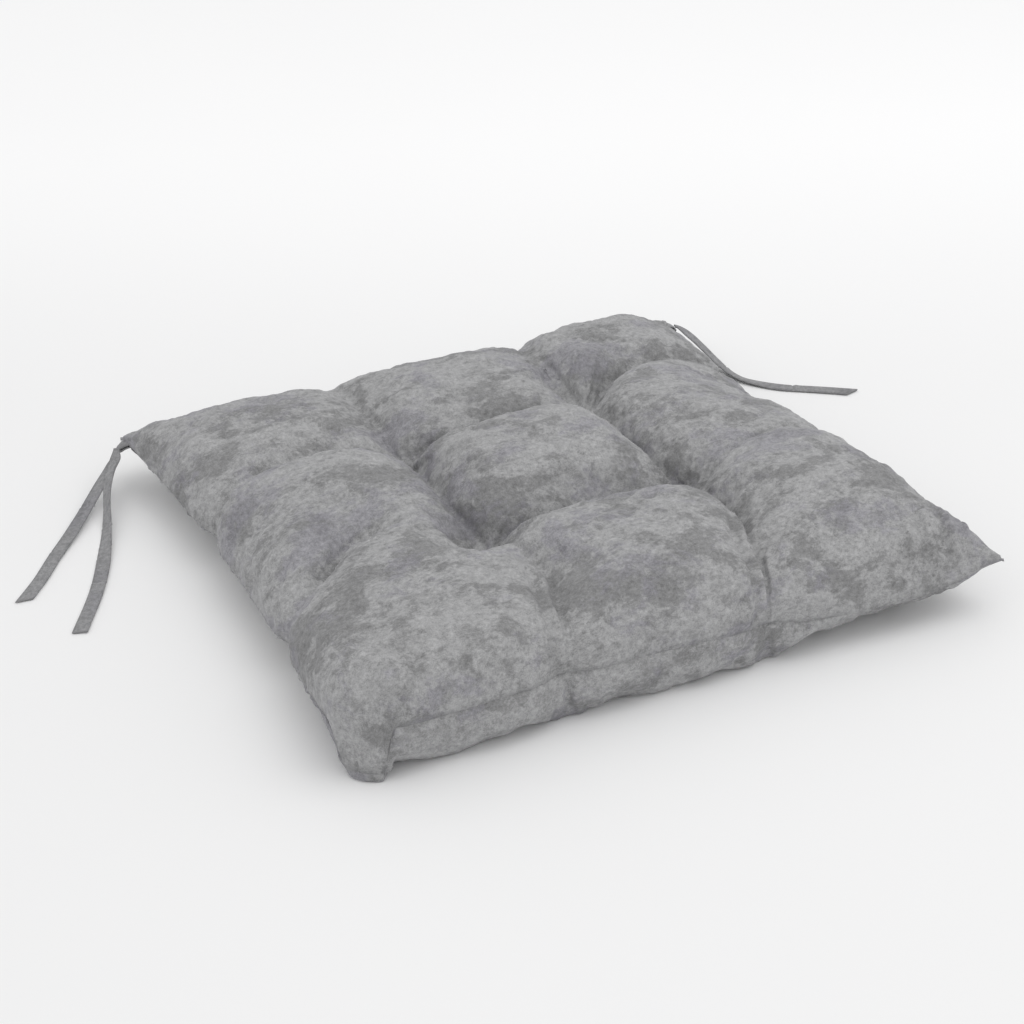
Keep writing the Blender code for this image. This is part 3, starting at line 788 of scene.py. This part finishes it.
def plan(s, t, side):
    """Where a place of the pattern lies on the floor plan, in metres."""
    u, v = rounded_corner(*warp(s, t))
    tuck = corner_share(u, v, FULL_CORNER, FULL_TUCK_SHARPNESS)
    across = HALF_WIDTH - side_pull(v, t, SIDE_BOWS["left"], SIDE_BOWS["right"], u)
    along = HALF_DEPTH - side_pull(u, s, SIDE_BOWS["front"], SIDE_BOWS["back"], v)
    nub = NUB_REACH * corner_share(u, v, (1, -1), NUB_SHARPNESS)
    if side < 0:    # the underside does not follow the notches of the seam
        along = along + NOTCH_PULL * smoothstep(0, 0.07, 1 - np.abs(v)) * notch_share(s)
    x = u * across * (1 - FULL_TUCKS[0] * tuck) + nub
    y = v * along * (1 - FULL_TUCKS[1] * tuck) - 0.6 * nub
    return x, y


def seam_height(u, v):
    height = np.full(np.broadcast(u, v).shape, SEAM_HEIGHT)
    for corner, lift in CORNER_LIFTS.items():
        height = height + lift * corner_share(u, v, corner, LIFT_SHARPNESS[corner])
    wave = along_line(FRONT_WAVE, u) * np.exp(-(v + 1) / FRONT_WAVE_REACH)
    return height + wave


def under_turn(u, v):
    """1 where the seam has turned under, round the front left corner."""
    return smoothstep(*UNDER_FRONT, -u) * smoothstep(*UNDER_LEFT, -v)


def crease_share(t):
    """1 on a tuft line, falling to 0 over the puffs beside it."""
    away = np.abs(np.abs(t) - TUFT)
    rounded = np.sqrt(away**2 + CREASE_ROUND**2) - CREASE_ROUND
    return np.exp(-rounded / CREASE_WIDTH)


def shoulder_share(u, v, sides, side):
    """Share of the puff height left by the way a face comes down to the seam all round."""
    full = corner_share(u, v, FULL_CORNER, FULL_SHARPNESS)
    full_power, full_round = FULL_SHOULDERS[side]
    knife = smoothstep(*KNIFE_BACK, v) * smoothstep(*KNIFE_RIGHT, u) if side > 0 else 0
    share = 1.0
    for name, reach in (("left", -u), ("right", u), ("front", -v), ("back", v)):
        power, round_power = sides[name]
        power = power + (full_power - power) * full
        round_power = round_power + (full_round - round_power) * full
        if name == "front" and side < 0:
            power, round_power = along_line(FRONT_UNDERSIDE, u), sides[name][1]
            round_power = round_power + (SLIM_ROUND - round_power) * smoothstep(*SLIM_START, u)
        if name == "right":
            power = power + (KNIFE_SHOULDER[0] - power) * knife
            round_power = round_power + (KNIFE_SHOULDER[1] - round_power) * knife
        share = share * np.clip(1 - np.clip(reach, 0, 1) ** power, 0, 1) ** round_power
    return share


def crease_depths(s, t):
    """Depths of the crease along the tuft lines running to the front, and of those running across."""
    lengthwise = np.where(s < 0, along_line(LEFT_DEPTHS, t), along_line(RIGHT_DEPTHS, t))
    crosswise = np.where(t < 0, along_line(FRONT_DEPTHS, s), along_line(BACK_DEPTHS, s))
    return lengthwise, crosswise


def pulled_in(s, t, side):
    """Share of the puff height left by the creases and tufts."""
    pull, dimple = 0, 0
    for side_s in (-1, 1):
        for side_t in (-1, 1):
            away = np.hypot(s - side_s * TUFT, t - side_t * TUFT)
            pull = pull + np.exp(-away / PULL_REACH)
            dimple = dimple + np.exp(-((away / DIMPLE_REACH) ** 2))
    if side > 0:
        lengthwise, crosswise = crease_depths(s, t)
    else:
        lengthwise, crosswise = (1 - smoothstep(0.45, 0.85, np.abs(place)) for place in (t, s))
    lines = 1 - (1 - crease_share(s) * lengthwise) * (1 - crease_share(t) * crosswise)
    return 1 - lines * (LINE_DEPTH + PULL_DEPTH * pull) - DIMPLE_DEPTH * dimple


def puff_rise(s, t):
    """Height of the top puffs over the seam, changing softly across each tuft line."""

    def thirds(place):
        low = smoothstep(-TUFT - PUFF_BLEND, -TUFT + PUFF_BLEND, place)
        high = smoothstep(TUFT - PUFF_BLEND, TUFT + PUFF_BLEND, place)
        return 1 - low, low * (1 - high), high

    rise = 0
    for row_share, row in zip(thirds(t), PUFF_RISES):
        for column_share, puff in zip(thirds(s), row):
            rise = rise + row_share * column_share * puff
    return rise


def pad_surface(s, t, side):
    """Points of the top (side 1) or bottom (side -1) face at places of the tufting pattern."""
    x, y = plan(s, t, side)
    u, v = warp(s, t)
    if side > 0:
        rise = puff_rise(s, t)
        for (at_u, at_v), (reach_u, reach_v), hump in HUMPS:
            rise = rise + hump * np.exp(-(((u - at_u) / reach_u) ** 2) - ((v - at_v) / reach_v) ** 2)
        share = shoulder_share(u, v, TOP_SHOULDERS, side)
        height = rise * share * pulled_in(s, t, side)
    else:
        share = shoulder_share(u, v, BOTTOM_SHOULDERS, side)
        height = -BOTTOM_DROP * share * pulled_in(s, t, side)
    turned = under_turn(u, v) * (1 - share)
    height = height - UNDER_DROP * turned
    x, y = x + UNDER_TUCK * turned, y + UNDER_TUCK * turned
    return np.stack([x, y, seam_height(u, v) + height], axis=-1)


def grid_steps(cells):
    """Grid coordinates from -1 to 1, closer together at the tuft lines and at the seam."""
    t = np.linspace(-1, 1, 4001)
    spacing = 1
    for place, reach, closer in GRID_DENSE:
        spacing = spacing - closer * np.exp(-(((np.abs(t) - place) / reach) ** 2))
    density = np.concatenate([[0], np.cumsum((1 / spacing[1:] + 1 / spacing[:-1]) / 2)])
    return np.interp(np.linspace(0, density[-1], cells + 1), density, t)


# ---- simulation


def shell_mesh(cells):
    """Index grids of the top and bottom faces that share the seam, and their quads."""
    size = cells + 1
    top = np.arange(size * size).reshape(size, size)
    bottom = top.copy()
    inner = np.arange((size - 2) ** 2).reshape(size - 2, size - 2)
    bottom[1:-1, 1:-1] = size * size + inner
    return top, bottom, np.vstack([grid_quads(top, True), grid_quads(bottom, False)])


def blow_up(points, faces, pins):
    """Runs the cloth with air pressure inside and returns its points."""
    obj = add_object("cloth_run", points, faces.tolist())
    group = obj.vertex_groups.new(name="pins")
    for level in range(1, 21):
        chosen = np.nonzero(np.round(pins * 20) == level)[0]
        if len(chosen):
            group.add([int(i) for i in chosen], level / 20, "REPLACE")
    cloth = obj.modifiers.new("cloth", "CLOTH")
    settings = cloth.settings
    for key, value in SIM_CLOTH.items():
        setattr(settings, key, value)
    settings.vertex_group_mass = "pins"
    settings.effector_weights.gravity = 0
    cloth.point_cache.frame_start = 1
    cloth.point_cache.frame_end = SIM_FRAMES
    scene = bpy.context.scene
    for step in range(1, SIM_FRAMES + 1):
        scene.frame_set(step)
    evaluated = obj.evaluated_get(bpy.context.evaluated_depsgraph_get())
    settled = np.zeros(len(points) * 3, np.float32)
    evaluated.data.vertices.foreach_get("co", settled)
    bpy.data.objects.remove(obj)
    scene.frame_set(1)
    return settled.reshape(-1, 3).astype(float)


def pin_weights(s, t):
    """How firmly each place is held: tufts, creases, the thin back of the right side, corners."""
    lengthwise, crosswise = crease_depths(s, t)
    along = crease_share(s) * np.clip(lengthwise, 0, 1)
    lines = np.maximum(along, crease_share(t) * np.clip(crosswise, 0, 1)) ** 5
    knife = smoothstep(*KNIFE_PIN_BACK, t) * smoothstep(*KNIFE_PIN_RIGHT, s)
    nose = corner_share(s, t, FULL_CORNER, NOSE_SHARPNESS)
    weights = np.maximum.reduce([CREASE_PIN * lines, KNIFE_PIN * knife, NOSE_PIN * nose])
    from_tuft = np.hypot(np.abs(s) - TUFT, np.abs(t) - TUFT) * HALF_WIDTH
    from_corner = np.hypot(1 - np.abs(s), 1 - np.abs(t))
    return np.where((from_tuft < TUFT_PIN_RADIUS) | (from_corner < CORNER_PIN_REACH), 1.0, weights)


def settle_pad():
    """Coarse top and bottom faces of the pad after the cloth has settled."""
    steps = grid_steps(SIM_CELLS)
    s, t = np.meshgrid(steps, steps)
    top_points, bottom_points = pad_surface(s, t, 1), pad_surface(s, t, -1)
    top, bottom, faces = shell_mesh(SIM_CELLS)
    points = np.zeros((bottom.max() + 1, 3))
    points[bottom] = bottom_points
    points[top] = top_points
    grid_pins = pin_weights(s, t)
    pins = np.zeros(len(points))
    pins[bottom] = grid_pins
    pins[top] = grid_pins
    rim = np.maximum(np.abs(s), np.abs(t)) > 0.9999
    pins[top[rim]] = np.maximum(SEAM_PIN, grid_pins[rim])
    moved = blow_up(points, faces, pins) - points
    far = np.linalg.norm(moved, axis=1, keepdims=True)
    points = points + moved * np.minimum(1, SIM_CAP / np.maximum(far, 1e-9))
    return steps, points[top], points[bottom]


def resample(values, coarse, fine):
    """Catmull-Rom reading of a grid of values at finer grid coordinates."""

    def along(axis_values):
        place = np.interp(fine, coarse, np.arange(len(coarse)))
        base = np.clip(np.floor(place).astype(int), 0, len(coarse) - 2)
        t = (place - base).reshape((-1,) + (1,) * (axis_values.ndim - 1))
        places = np.clip(np.stack([base - 1, base, base + 1, base + 2]), 0, len(coarse) - 1)
        return catmull_rom(*axis_values[places], t)

    rows = along(values)
    return along(rows.swapaxes(0, 1)).swapaxes(0, 1)


def grid_normals(points, side):
    across = np.gradient(points, axis=1)
    along = np.gradient(points, axis=0)
    return unit(np.cross(across, along)) * side


def arc_lengths(points, axis):
    """Distance along one way of a grid of points, from its low end."""
    steps = np.linalg.norm(np.diff(points, axis=axis), axis=2)
    return np.concatenate([np.zeros_like(steps.take([0], axis)), np.cumsum(steps, axis)], axis)


def waves(x, y, draw, lengths, count):
    """Soft irregular relief of unit strength, made of plane waves."""
    total = 0
    for _ in range(count):
        angle = draw.uniform(0, math.pi)
        pace = 2 * math.pi / draw.uniform(*lengths)
        phase = draw.uniform(0, 2 * math.pi)
        total = total + np.cos(pace * (math.cos(angle) * x + math.sin(angle) * y) + phase)
    return total / math.sqrt(count / 2)


class PadCloth:
    """The settled cover: fine grids of both faces, with seams, puckers and folds worked in."""

    def __init__(self):
        coarse, top, bottom = settle_pad()
        self.steps = grid_steps(FINE_CELLS)
        self.s, self.t = np.meshgrid(self.steps, self.steps)
        self.draw = np.random.default_rng(12)
        self.folds = list(FOLDS) + self.tuft_folds()
        self.plain, self.faces = {}, {}
        for side, grid in ((1, top), (-1, bottom)):
            self.plain[side] = resample(grid, coarse, self.steps)
            self.faces[side] = self.detail(self.plain[side], side)

    def tuft_folds(self):
        """Short folds of the top that run out from each tuft."""
        folds = []
        for side_s in (-1, 1):
            for side_t in (-1, 1):
                for k in range(TUFT_FOLDS):
                    angle = 2 * math.pi * (k + self.draw.uniform(-0.3, 0.3)) / TUFT_FOLDS
                    reach = self.draw.uniform(*TUFT_FOLD_LENGTHS)
                    bend = self.draw.uniform(-0.25, 0.25)
                    places = []
                    for share in (0.12, 0.5, 1.0):
                        turned = angle + bend * share
                        place_s = side_s * TUFT + reach * share * math.cos(turned)
                        places.append((place_s, side_t * TUFT + reach * share * math.sin(turned)))
                    folds.append((1, tuple(places), TUFT_FOLD_WIDTH, TUFT_FOLD_HEIGHT))
        return folds

    def between(self, points, route):
        """Points of a face at places of the pattern that lie between its grid points."""
        count = len(self.steps)
        places = [np.interp(route[:, k], self.steps, np.arange(count)) for k in (1, 0)]
        row, column = (np.clip(np.floor(place).astype(int), 0, count - 2) for place in places)
        row_part, column_part = (places[0] - row)[:, None], (places[1] - column)[:, None]
        return (
            points[row, column] * (1 - row_part) * (1 - column_part)
            + points[row, column + 1] * (1 - row_part) * column_part
            + points[row + 1, column] * row_part * (1 - column_part)
            + points[row + 1, column + 1] * row_part * column_part
        )

    def fold_height(self, points, side):
        """Height of all folds of one face at its grid points."""
        total = np.zeros(points.shape[:2])
        for face, places, width, height in self.folds:
            if face != side:
                continue
            route, _ = smooth_curve(places, FOLD_STATIONS)
            path = self.between(points, route)
            low, high = path.min(axis=0) - 5 * width, path.max(axis=0) + 5 * width
            near = np.nonzero(np.all((points > low) & (points < high), axis=-1))
            offsets = points[near][:, None] - path[None]
            distances = np.linalg.norm(offsets, axis=-1)
            nearest = distances.argmin(axis=1)
            distance = distances[np.arange(len(nearest)), nearest]
            direction = np.gradient(route, axis=0)[nearest]
            to_point = np.stack([self.s[near], self.t[near]], axis=-1) - route[nearest]
            right = direction[:, 1] * to_point[:, 0] - direction[:, 0] * to_point[:, 1]
            signed = distance * np.sign(right)
            lengths = np.linalg.norm(np.diff(path, axis=0), axis=1)
            share = (np.concatenate([[0], np.cumsum(lengths)]) / lengths.sum())[nearest]
            into_seam = max(abs(places[-1][0]), abs(places[-1][1])) > FOLD_SEAM
            fading = 0.4 * smoothstep(0.92, 1, share) if into_seam else smoothstep(FOLD_RAMP, 1, share)
            taper = smoothstep(0, FOLD_RAMP, share) * (1 - fading)
            depth, apart = FOLD_VALLEY
            ridge = np.exp(-((signed / width) ** 2))
            valley = np.exp(-(((signed - apart * width) / width) ** 2))
            total[near] += height * taper * (ridge - depth * valley)
        return total

    def detail(self, points, side):
        """A face with its lumps, wrinkles, puckers, folds and pinched seam worked in."""
        rows, columns = arc_lengths(points, 1), arc_lengths(points, 0)
        middle = len(points) // 2
        flat_x, flat_y = rows - rows[:, middle : middle + 1], columns - columns[middle]
        from_sides = [(rows, flat_y), (rows[:, -1:] - rows, flat_y)]
        from_sides += [(columns, flat_x), (columns[-1:] - columns, flat_x)]
        edge = np.minimum.reduce([distance for distance, _ in from_sides])
        normals = grid_normals(points, side)
        relief = LUMP_HEIGHT * waves(flat_x, flat_y, self.draw, LUMP_LENGTHS, 14)
        relief = relief + WRINKLE_HEIGHT * waves(flat_x, flat_y, self.draw, WRINKLE_LENGTHS, 16)
        relief = relief * smoothstep(*RELIEF_START, edge)
        for distance, along in from_sides:
            ripple = waves(along, distance * PUCKER_STRETCH, self.draw, PUCKER_LENGTHS, 9)
            patchy = 0.5 + 0.5 * np.tanh(1.5 * waves(along, 0 * along, self.draw, PATCH_LENGTHS, 4))
            shape = np.exp(-distance / PUCKER_REACH) * smoothstep(0, 0.003, distance)
            strength = PUCKER_WEAKEST + (1 - PUCKER_WEAKEST) * patchy
            relief = relief + PUCKER_HEIGHT * ripple * strength * shape
        relief = relief + self.fold_height(points, side)
        on_side = np.abs(self.s) > np.abs(self.t)
        inward = np.stack([-self.s * on_side, -self.t * ~on_side, 0 * self.s], axis=-1)
        corner_fade = smoothstep(0, PINCH_FADE, np.hypot(1 - np.abs(self.s), 1 - np.abs(self.t)))
        u, v = warp(self.s, self.t)
        pinch = SEAM_PINCH * np.exp(-((edge / SEAM_PINCH_REACH) ** 2)) * corner_fade
        pinch = pinch * (1 - under_turn(u, v))
        rim = np.maximum(np.abs(self.s), np.abs(self.t)) > 0.99999
        relief = np.where(rim, 0, relief)
        points = points + normals * relief[..., None] + inward * pinch[..., None]
        points[..., 2] = np.maximum(points[..., 2], LOWEST)
        return points

    def read(self, side, s, t):
        """Point of a face at a place of the pattern."""
        column = int(np.abs(self.steps - s).argmin())
        row = int(np.abs(self.steps - t).argmin())
        return self.faces[side][row, column]


# ---- pad pieces


def make_panel(name, outer, side, material, replaced):
    """A panel with thickness: the outer face, a seam allowance, and a coarser inner face."""
    size = outer.shape[0]
    half = size // 2 + 1
    normals = grid_normals(outer, side)
    inner = (outer - normals * CLOTH)[::2, ::2]
    if side < 0:
        inner[..., 2] = np.maximum(inner[..., 2], INNER_LOWEST)
    outer_index = np.arange(size * size).reshape(size, size)
    inner_index = size * size + np.arange(half * half).reshape(half, half)
    faces = grid_quads(outer_index, side > 0).tolist() + grid_quads(inner_index, side < 0).tolist()
    outer_rim, inner_rim = rim_of(outer_index).tolist(), rim_of(inner_index).tolist()
    for k, inside in enumerate(inner_rim):
        after = (k + 1) % len(inner_rim)
        face = [outer_rim[2 * k], inside, inner_rim[after], outer_rim[2 * after], outer_rim[2 * k + 1]]
        faces.append(face if side > 0 else face[::-1])
    points = np.vstack([outer.reshape(-1, 3), inner.reshape(-1, 3)])
    obj = add_object(name, points, faces, material)
    set_cloth(obj, points + (0, 0, PANEL_SHIFT * side))
    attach(obj, "pad")
    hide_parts(replaced)


def make_filling(cloth, material):
    """The stuffing: a closed body that follows both panels just inside them."""
    kept = np.nonzero(np.abs(cloth.steps[::2]) <= FILLING_EXTENT)[0]
    window = slice(kept[0], kept[-1] + 1)
    grids = []
    for side in (1, -1):
        outer = cloth.plain[side]
        grid = outer - grid_normals(outer, side) * FILLING_CLEARANCE
        crease = np.maximum(crease_share(cloth.s), crease_share(cloth.t))
        grid[..., 2] -= side * FILLING_DROP * (1 + 1.5 * crease)
        grids.append(grid[::2, ::2][window, window])
    upper, lower = grids
    middle = (upper[..., 2] + lower[..., 2]) / 2
    upper[..., 2] = np.maximum(upper[..., 2], middle + FILLING_THINNEST / 2)
    lower[..., 2] = np.clip(lower[..., 2], FILLING_LOWEST, middle - FILLING_THINNEST / 2)
    size = upper.shape[0]
    layer = size * size
    index = np.arange(layer).reshape(size, size)
    faces = grid_quads(index, True).tolist() + grid_quads(layer + index, False).tolist()
    rim = rim_of(index).tolist()
    for here, after in zip(rim, rim[1:] + rim[:1]):
        faces.append([here, here + layer, after + layer, after])
    obj = add_object("filling", np.vstack([upper.reshape(-1, 3), lower.reshape(-1, 3)]), faces, material)
    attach(obj, "pad")
    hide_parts("fibre_filling")


def add_thread(name, path, radius, material, replaced, closed=False):
    obj = tube(name, path, radius, material, closed)
    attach(obj, "pad")
    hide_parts(replaced)


def make_tuft_threads(cloth, material):
    """A loop of thread through the pad at each tuft, seen as one short stitch deep in the dimple."""
    for row_name, t in (("front", -TUFT), ("back", TUFT)):
        for side_name, s in (("left", -TUFT), ("right", TUFT)):
            loop = []
            for side, shares in ((1, TUFT_LOOP_TOP), (-1, TUFT_LOOP_BOTTOM)):
                for across, out in shares:
                    shift = np.array((across * side * TUFT_STITCH / 2, 0, out * side * TUFT_THREAD * 0.9))
                    loop.append(cloth.read(side, s, t) + shift)
            path, _ = smooth_curve(loop + loop[:1], 73)
            path[:, 2] = np.maximum(path[:, 2], TUFT_THREAD + 0.0002)
            name = f"tuft_{row_name}_{side_name}"
            add_thread(name + "_thread", path[:-1], TUFT_THREAD, material, name, closed=True)


def make_seam_threads(cloth, material):
    """The row of stitches inside the rim, and the hand stitches that close the back."""
    top = cloth.faces[1]
    rim = rim_of(top)
    inward = unit(rim * (-1, -1, 0))
    corner = np.abs(rim[:, 0]) / HALF_WIDTH + np.abs(rim[:, 1]) / HALF_DEPTH
    reach = SEAM_THREAD_INSIDE * (1 + 0.5 * smoothstep(1.6, 2.0, corner))    # further in at corners
    ring = rim + inward * reach[:, None]
    ring, _ = smooth_curve(np.vstack([ring, ring[:1]])[::2], 601)
    ring[:, 2] = np.maximum(ring[:, 2], SEAM_THREAD_LOWEST)
    add_thread("seam_thread", ring[:-1], SEAM_THREAD, material, "seam_stitching", closed=True)

    back = top[-1]
    share = np.linspace(0, 1, CLOSING_TURNS * 12)
    x = -CLOSING_HALF + 2 * CLOSING_HALF * share
    seam = np.stack([x] + [np.interp(x, back[:, 0], back[:, k]) for k in (1, 2)], axis=-1)
    angle = 2 * math.pi * CLOSING_TURNS * share
    sizes = np.random.default_rng(5).uniform(0.85, 1.15, CLOSING_TURNS + 1)
    uneven = np.interp(share, np.linspace(0, 1, CLOSING_TURNS + 1), sizes)
    seam[:, 1] += CLOSING_SHIFT + 0.75 * CLOSING_REACH * uneven * np.cos(angle)
    seam[:, 2] += CLOSING_REACH * uneven * np.sin(angle)
    add_thread("closing_thread", seam, CLOSING_THREAD, material, "closing_stitches")


def make_tape_fold(name, side, tails, cloth, material):
    """The folded middle of a tape: two layers that come out of the side seam to the two tails."""
    edge = cloth.faces[1][:, -1 if side > 0 else 0]
    rim = np.array([np.interp(FOLD_MIDDLE_Y, edge[:, 1], column) for column in edge.T])
    roots = np.array([TIE_ROUTES[tail][0] for tail in tails])
    out = np.abs(roots[:, 0]).min() - abs(rim[0]) - FOLD_GAP
    half = np.ptp(roots[:, 2]) / 2 + TAPE_THICKNESS / 2
    small = half - TAPE_THICKNESS
    turn = np.linspace(math.pi / 2, -math.pi / 2, 11)
    straight = np.array([-FOLD_INSIDE, 0, (out - half) / 2])

    def layer(radius, flip):
        arc = np.stack([out - half + radius * np.cos(turn), radius * np.sin(turn)], axis=-1)
        upper = np.stack([straight, np.full(3, radius)], axis=-1)
        lower = np.stack([straight[::-1], np.full(3, -radius)], axis=-1)
        line = np.vstack([upper, arc, lower])
        return line[::-1] if flip else line

    outer, inner = layer(half, False), layer(small, True)
    outline = np.vstack([outer, inner])
    reached = smoothstep(0, 1, np.clip(outline[:, 0] / out, 0, 1))
    height = outline[:, 1] * (FOLD_HALF_HEIGHT / half + (1 - FOLD_HALF_HEIGHT / half) * reached)
    drop = (rim[2] - roots[:, 2].mean()) * reached
    gather = 1 - FOLD_GATHER * reached
    across = np.linspace(-1, 1, 9)
    points = []
    for place in across:
        squeeze = 1 - 0.12 * abs(place) ** 6
        x = rim[0] + side * outline[:, 0]
        y = rim[1] + place * TAPE_WIDTH / 2 * gather
        z = rim[2] + height * squeeze - drop
        points.append(np.stack([x, y, z], axis=-1))
    points = np.array(points)
    size = len(outline)
    walls = ring_faces(len(across), size)
    faces = (walls if side > 0 else [quad[::-1] for quad in walls]) + end_faces(len(across), size, side < 0)
    obj = add_object(name + "_tape", points.reshape(-1, 3), faces, material)
    flat = points.reshape(-1, 3).copy()
    flat[:, 2] += FOLD_CLOTH_START + 0.1 * side
    set_cloth(obj, flat)
    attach(obj, "pad")
    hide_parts(name)


# ---- stage


def make_stage():
    """A pale floor with painted light that brightens it far off, as a studio's lamps do, an even surround
    and one large soft lamp.
    """
    graph = Graph("floor")
    place = graph.add("ShaderNodeTexCoord").outputs["Object"]
    split = graph.add("ShaderNodeSeparateXYZ", {"Vector": place})
    along_x, along_y = (graph.times(split.outputs[axis], FLOOR_AWAY[axis]) for axis in (0, 1))
    # painted light: the floor's colour is brightened far off, standing in for the studio's light falling
    # there
    near, far, gain = FLOOR_PAINTED_LIGHT
    painted_light = graph.span(graph.plus(along_y, along_x), near, far, 1.0, gain)
    clouds = graph.span(graph.noise(place, 3.0, 2.0), 0.2, 0.8, 0.997, 1.003)
    graph.surface(FLOOR_COLOUR, graph.times(painted_light, clouds), 0.9)
    graph.shader.inputs["Specular IOR Level"].default_value = 0.1
    corners = [(x * FLOOR_REACH, y * FLOOR_REACH, 0) for x, y in ((-1, -1), (1, -1), (1, 1), (-1, 1))]
    add_object("floor", corners, [(0, 1, 2, 3)], graph.material)

    world = bpy.data.worlds.new("studio")
    world.use_nodes = True
    background = world.node_tree.nodes["Background"]
    background.inputs["Color"].default_value = (1, 1, 1, 1)
    background.inputs["Strength"].default_value = WORLD_LIGHT
    scene = bpy.context.scene
    scene.world = world

    data = bpy.data.lights.new("key", "AREA")
    data.size = KEY_SIZE
    data.energy = KEY_POWER
    lamp = bpy.data.objects.new("key", data)
    scene.collection.objects.link(lamp)
    lamp.location = KEY_PLACE
    lamp.rotation_euler = Vector(KEY_PLACE).to_track_quat("Z", "Y").to_euler()
    scene.view_settings.view_transform = "Standard"


# ---- build


def build():
    make_camera()
    cover = nap_material("cover_cloth", COVER_LIGHT, COVER_NEUTRAL, COVER_TINTED, 1.0)
    tape = nap_material("tie_cloth", TIE_LIGHT, TIE_NEUTRAL, TIE_TINTED, TIE_PATCHINESS)
    thread = thread_material("thread")
    for name in TIE_ROUTES:
        make_tape(name, tape)
    cloth = PadCloth()
    make_panel("top_cover", cloth.faces[1], 1, cover, "top_panel")
    make_panel("bottom_cover", cloth.faces[-1], -1, cover, "bottom_panel")
    make_filling(cloth, fibre_material())
    make_tuft_threads(cloth, thread)
    make_seam_threads(cloth, thread)
    for side, name in ((-1, "tie_left"), (1, "tie_right")):
        make_tape_fold(name + "_fold", side, (name + "_front", name + "_rear"), cloth, tape)
    make_stage()


build()
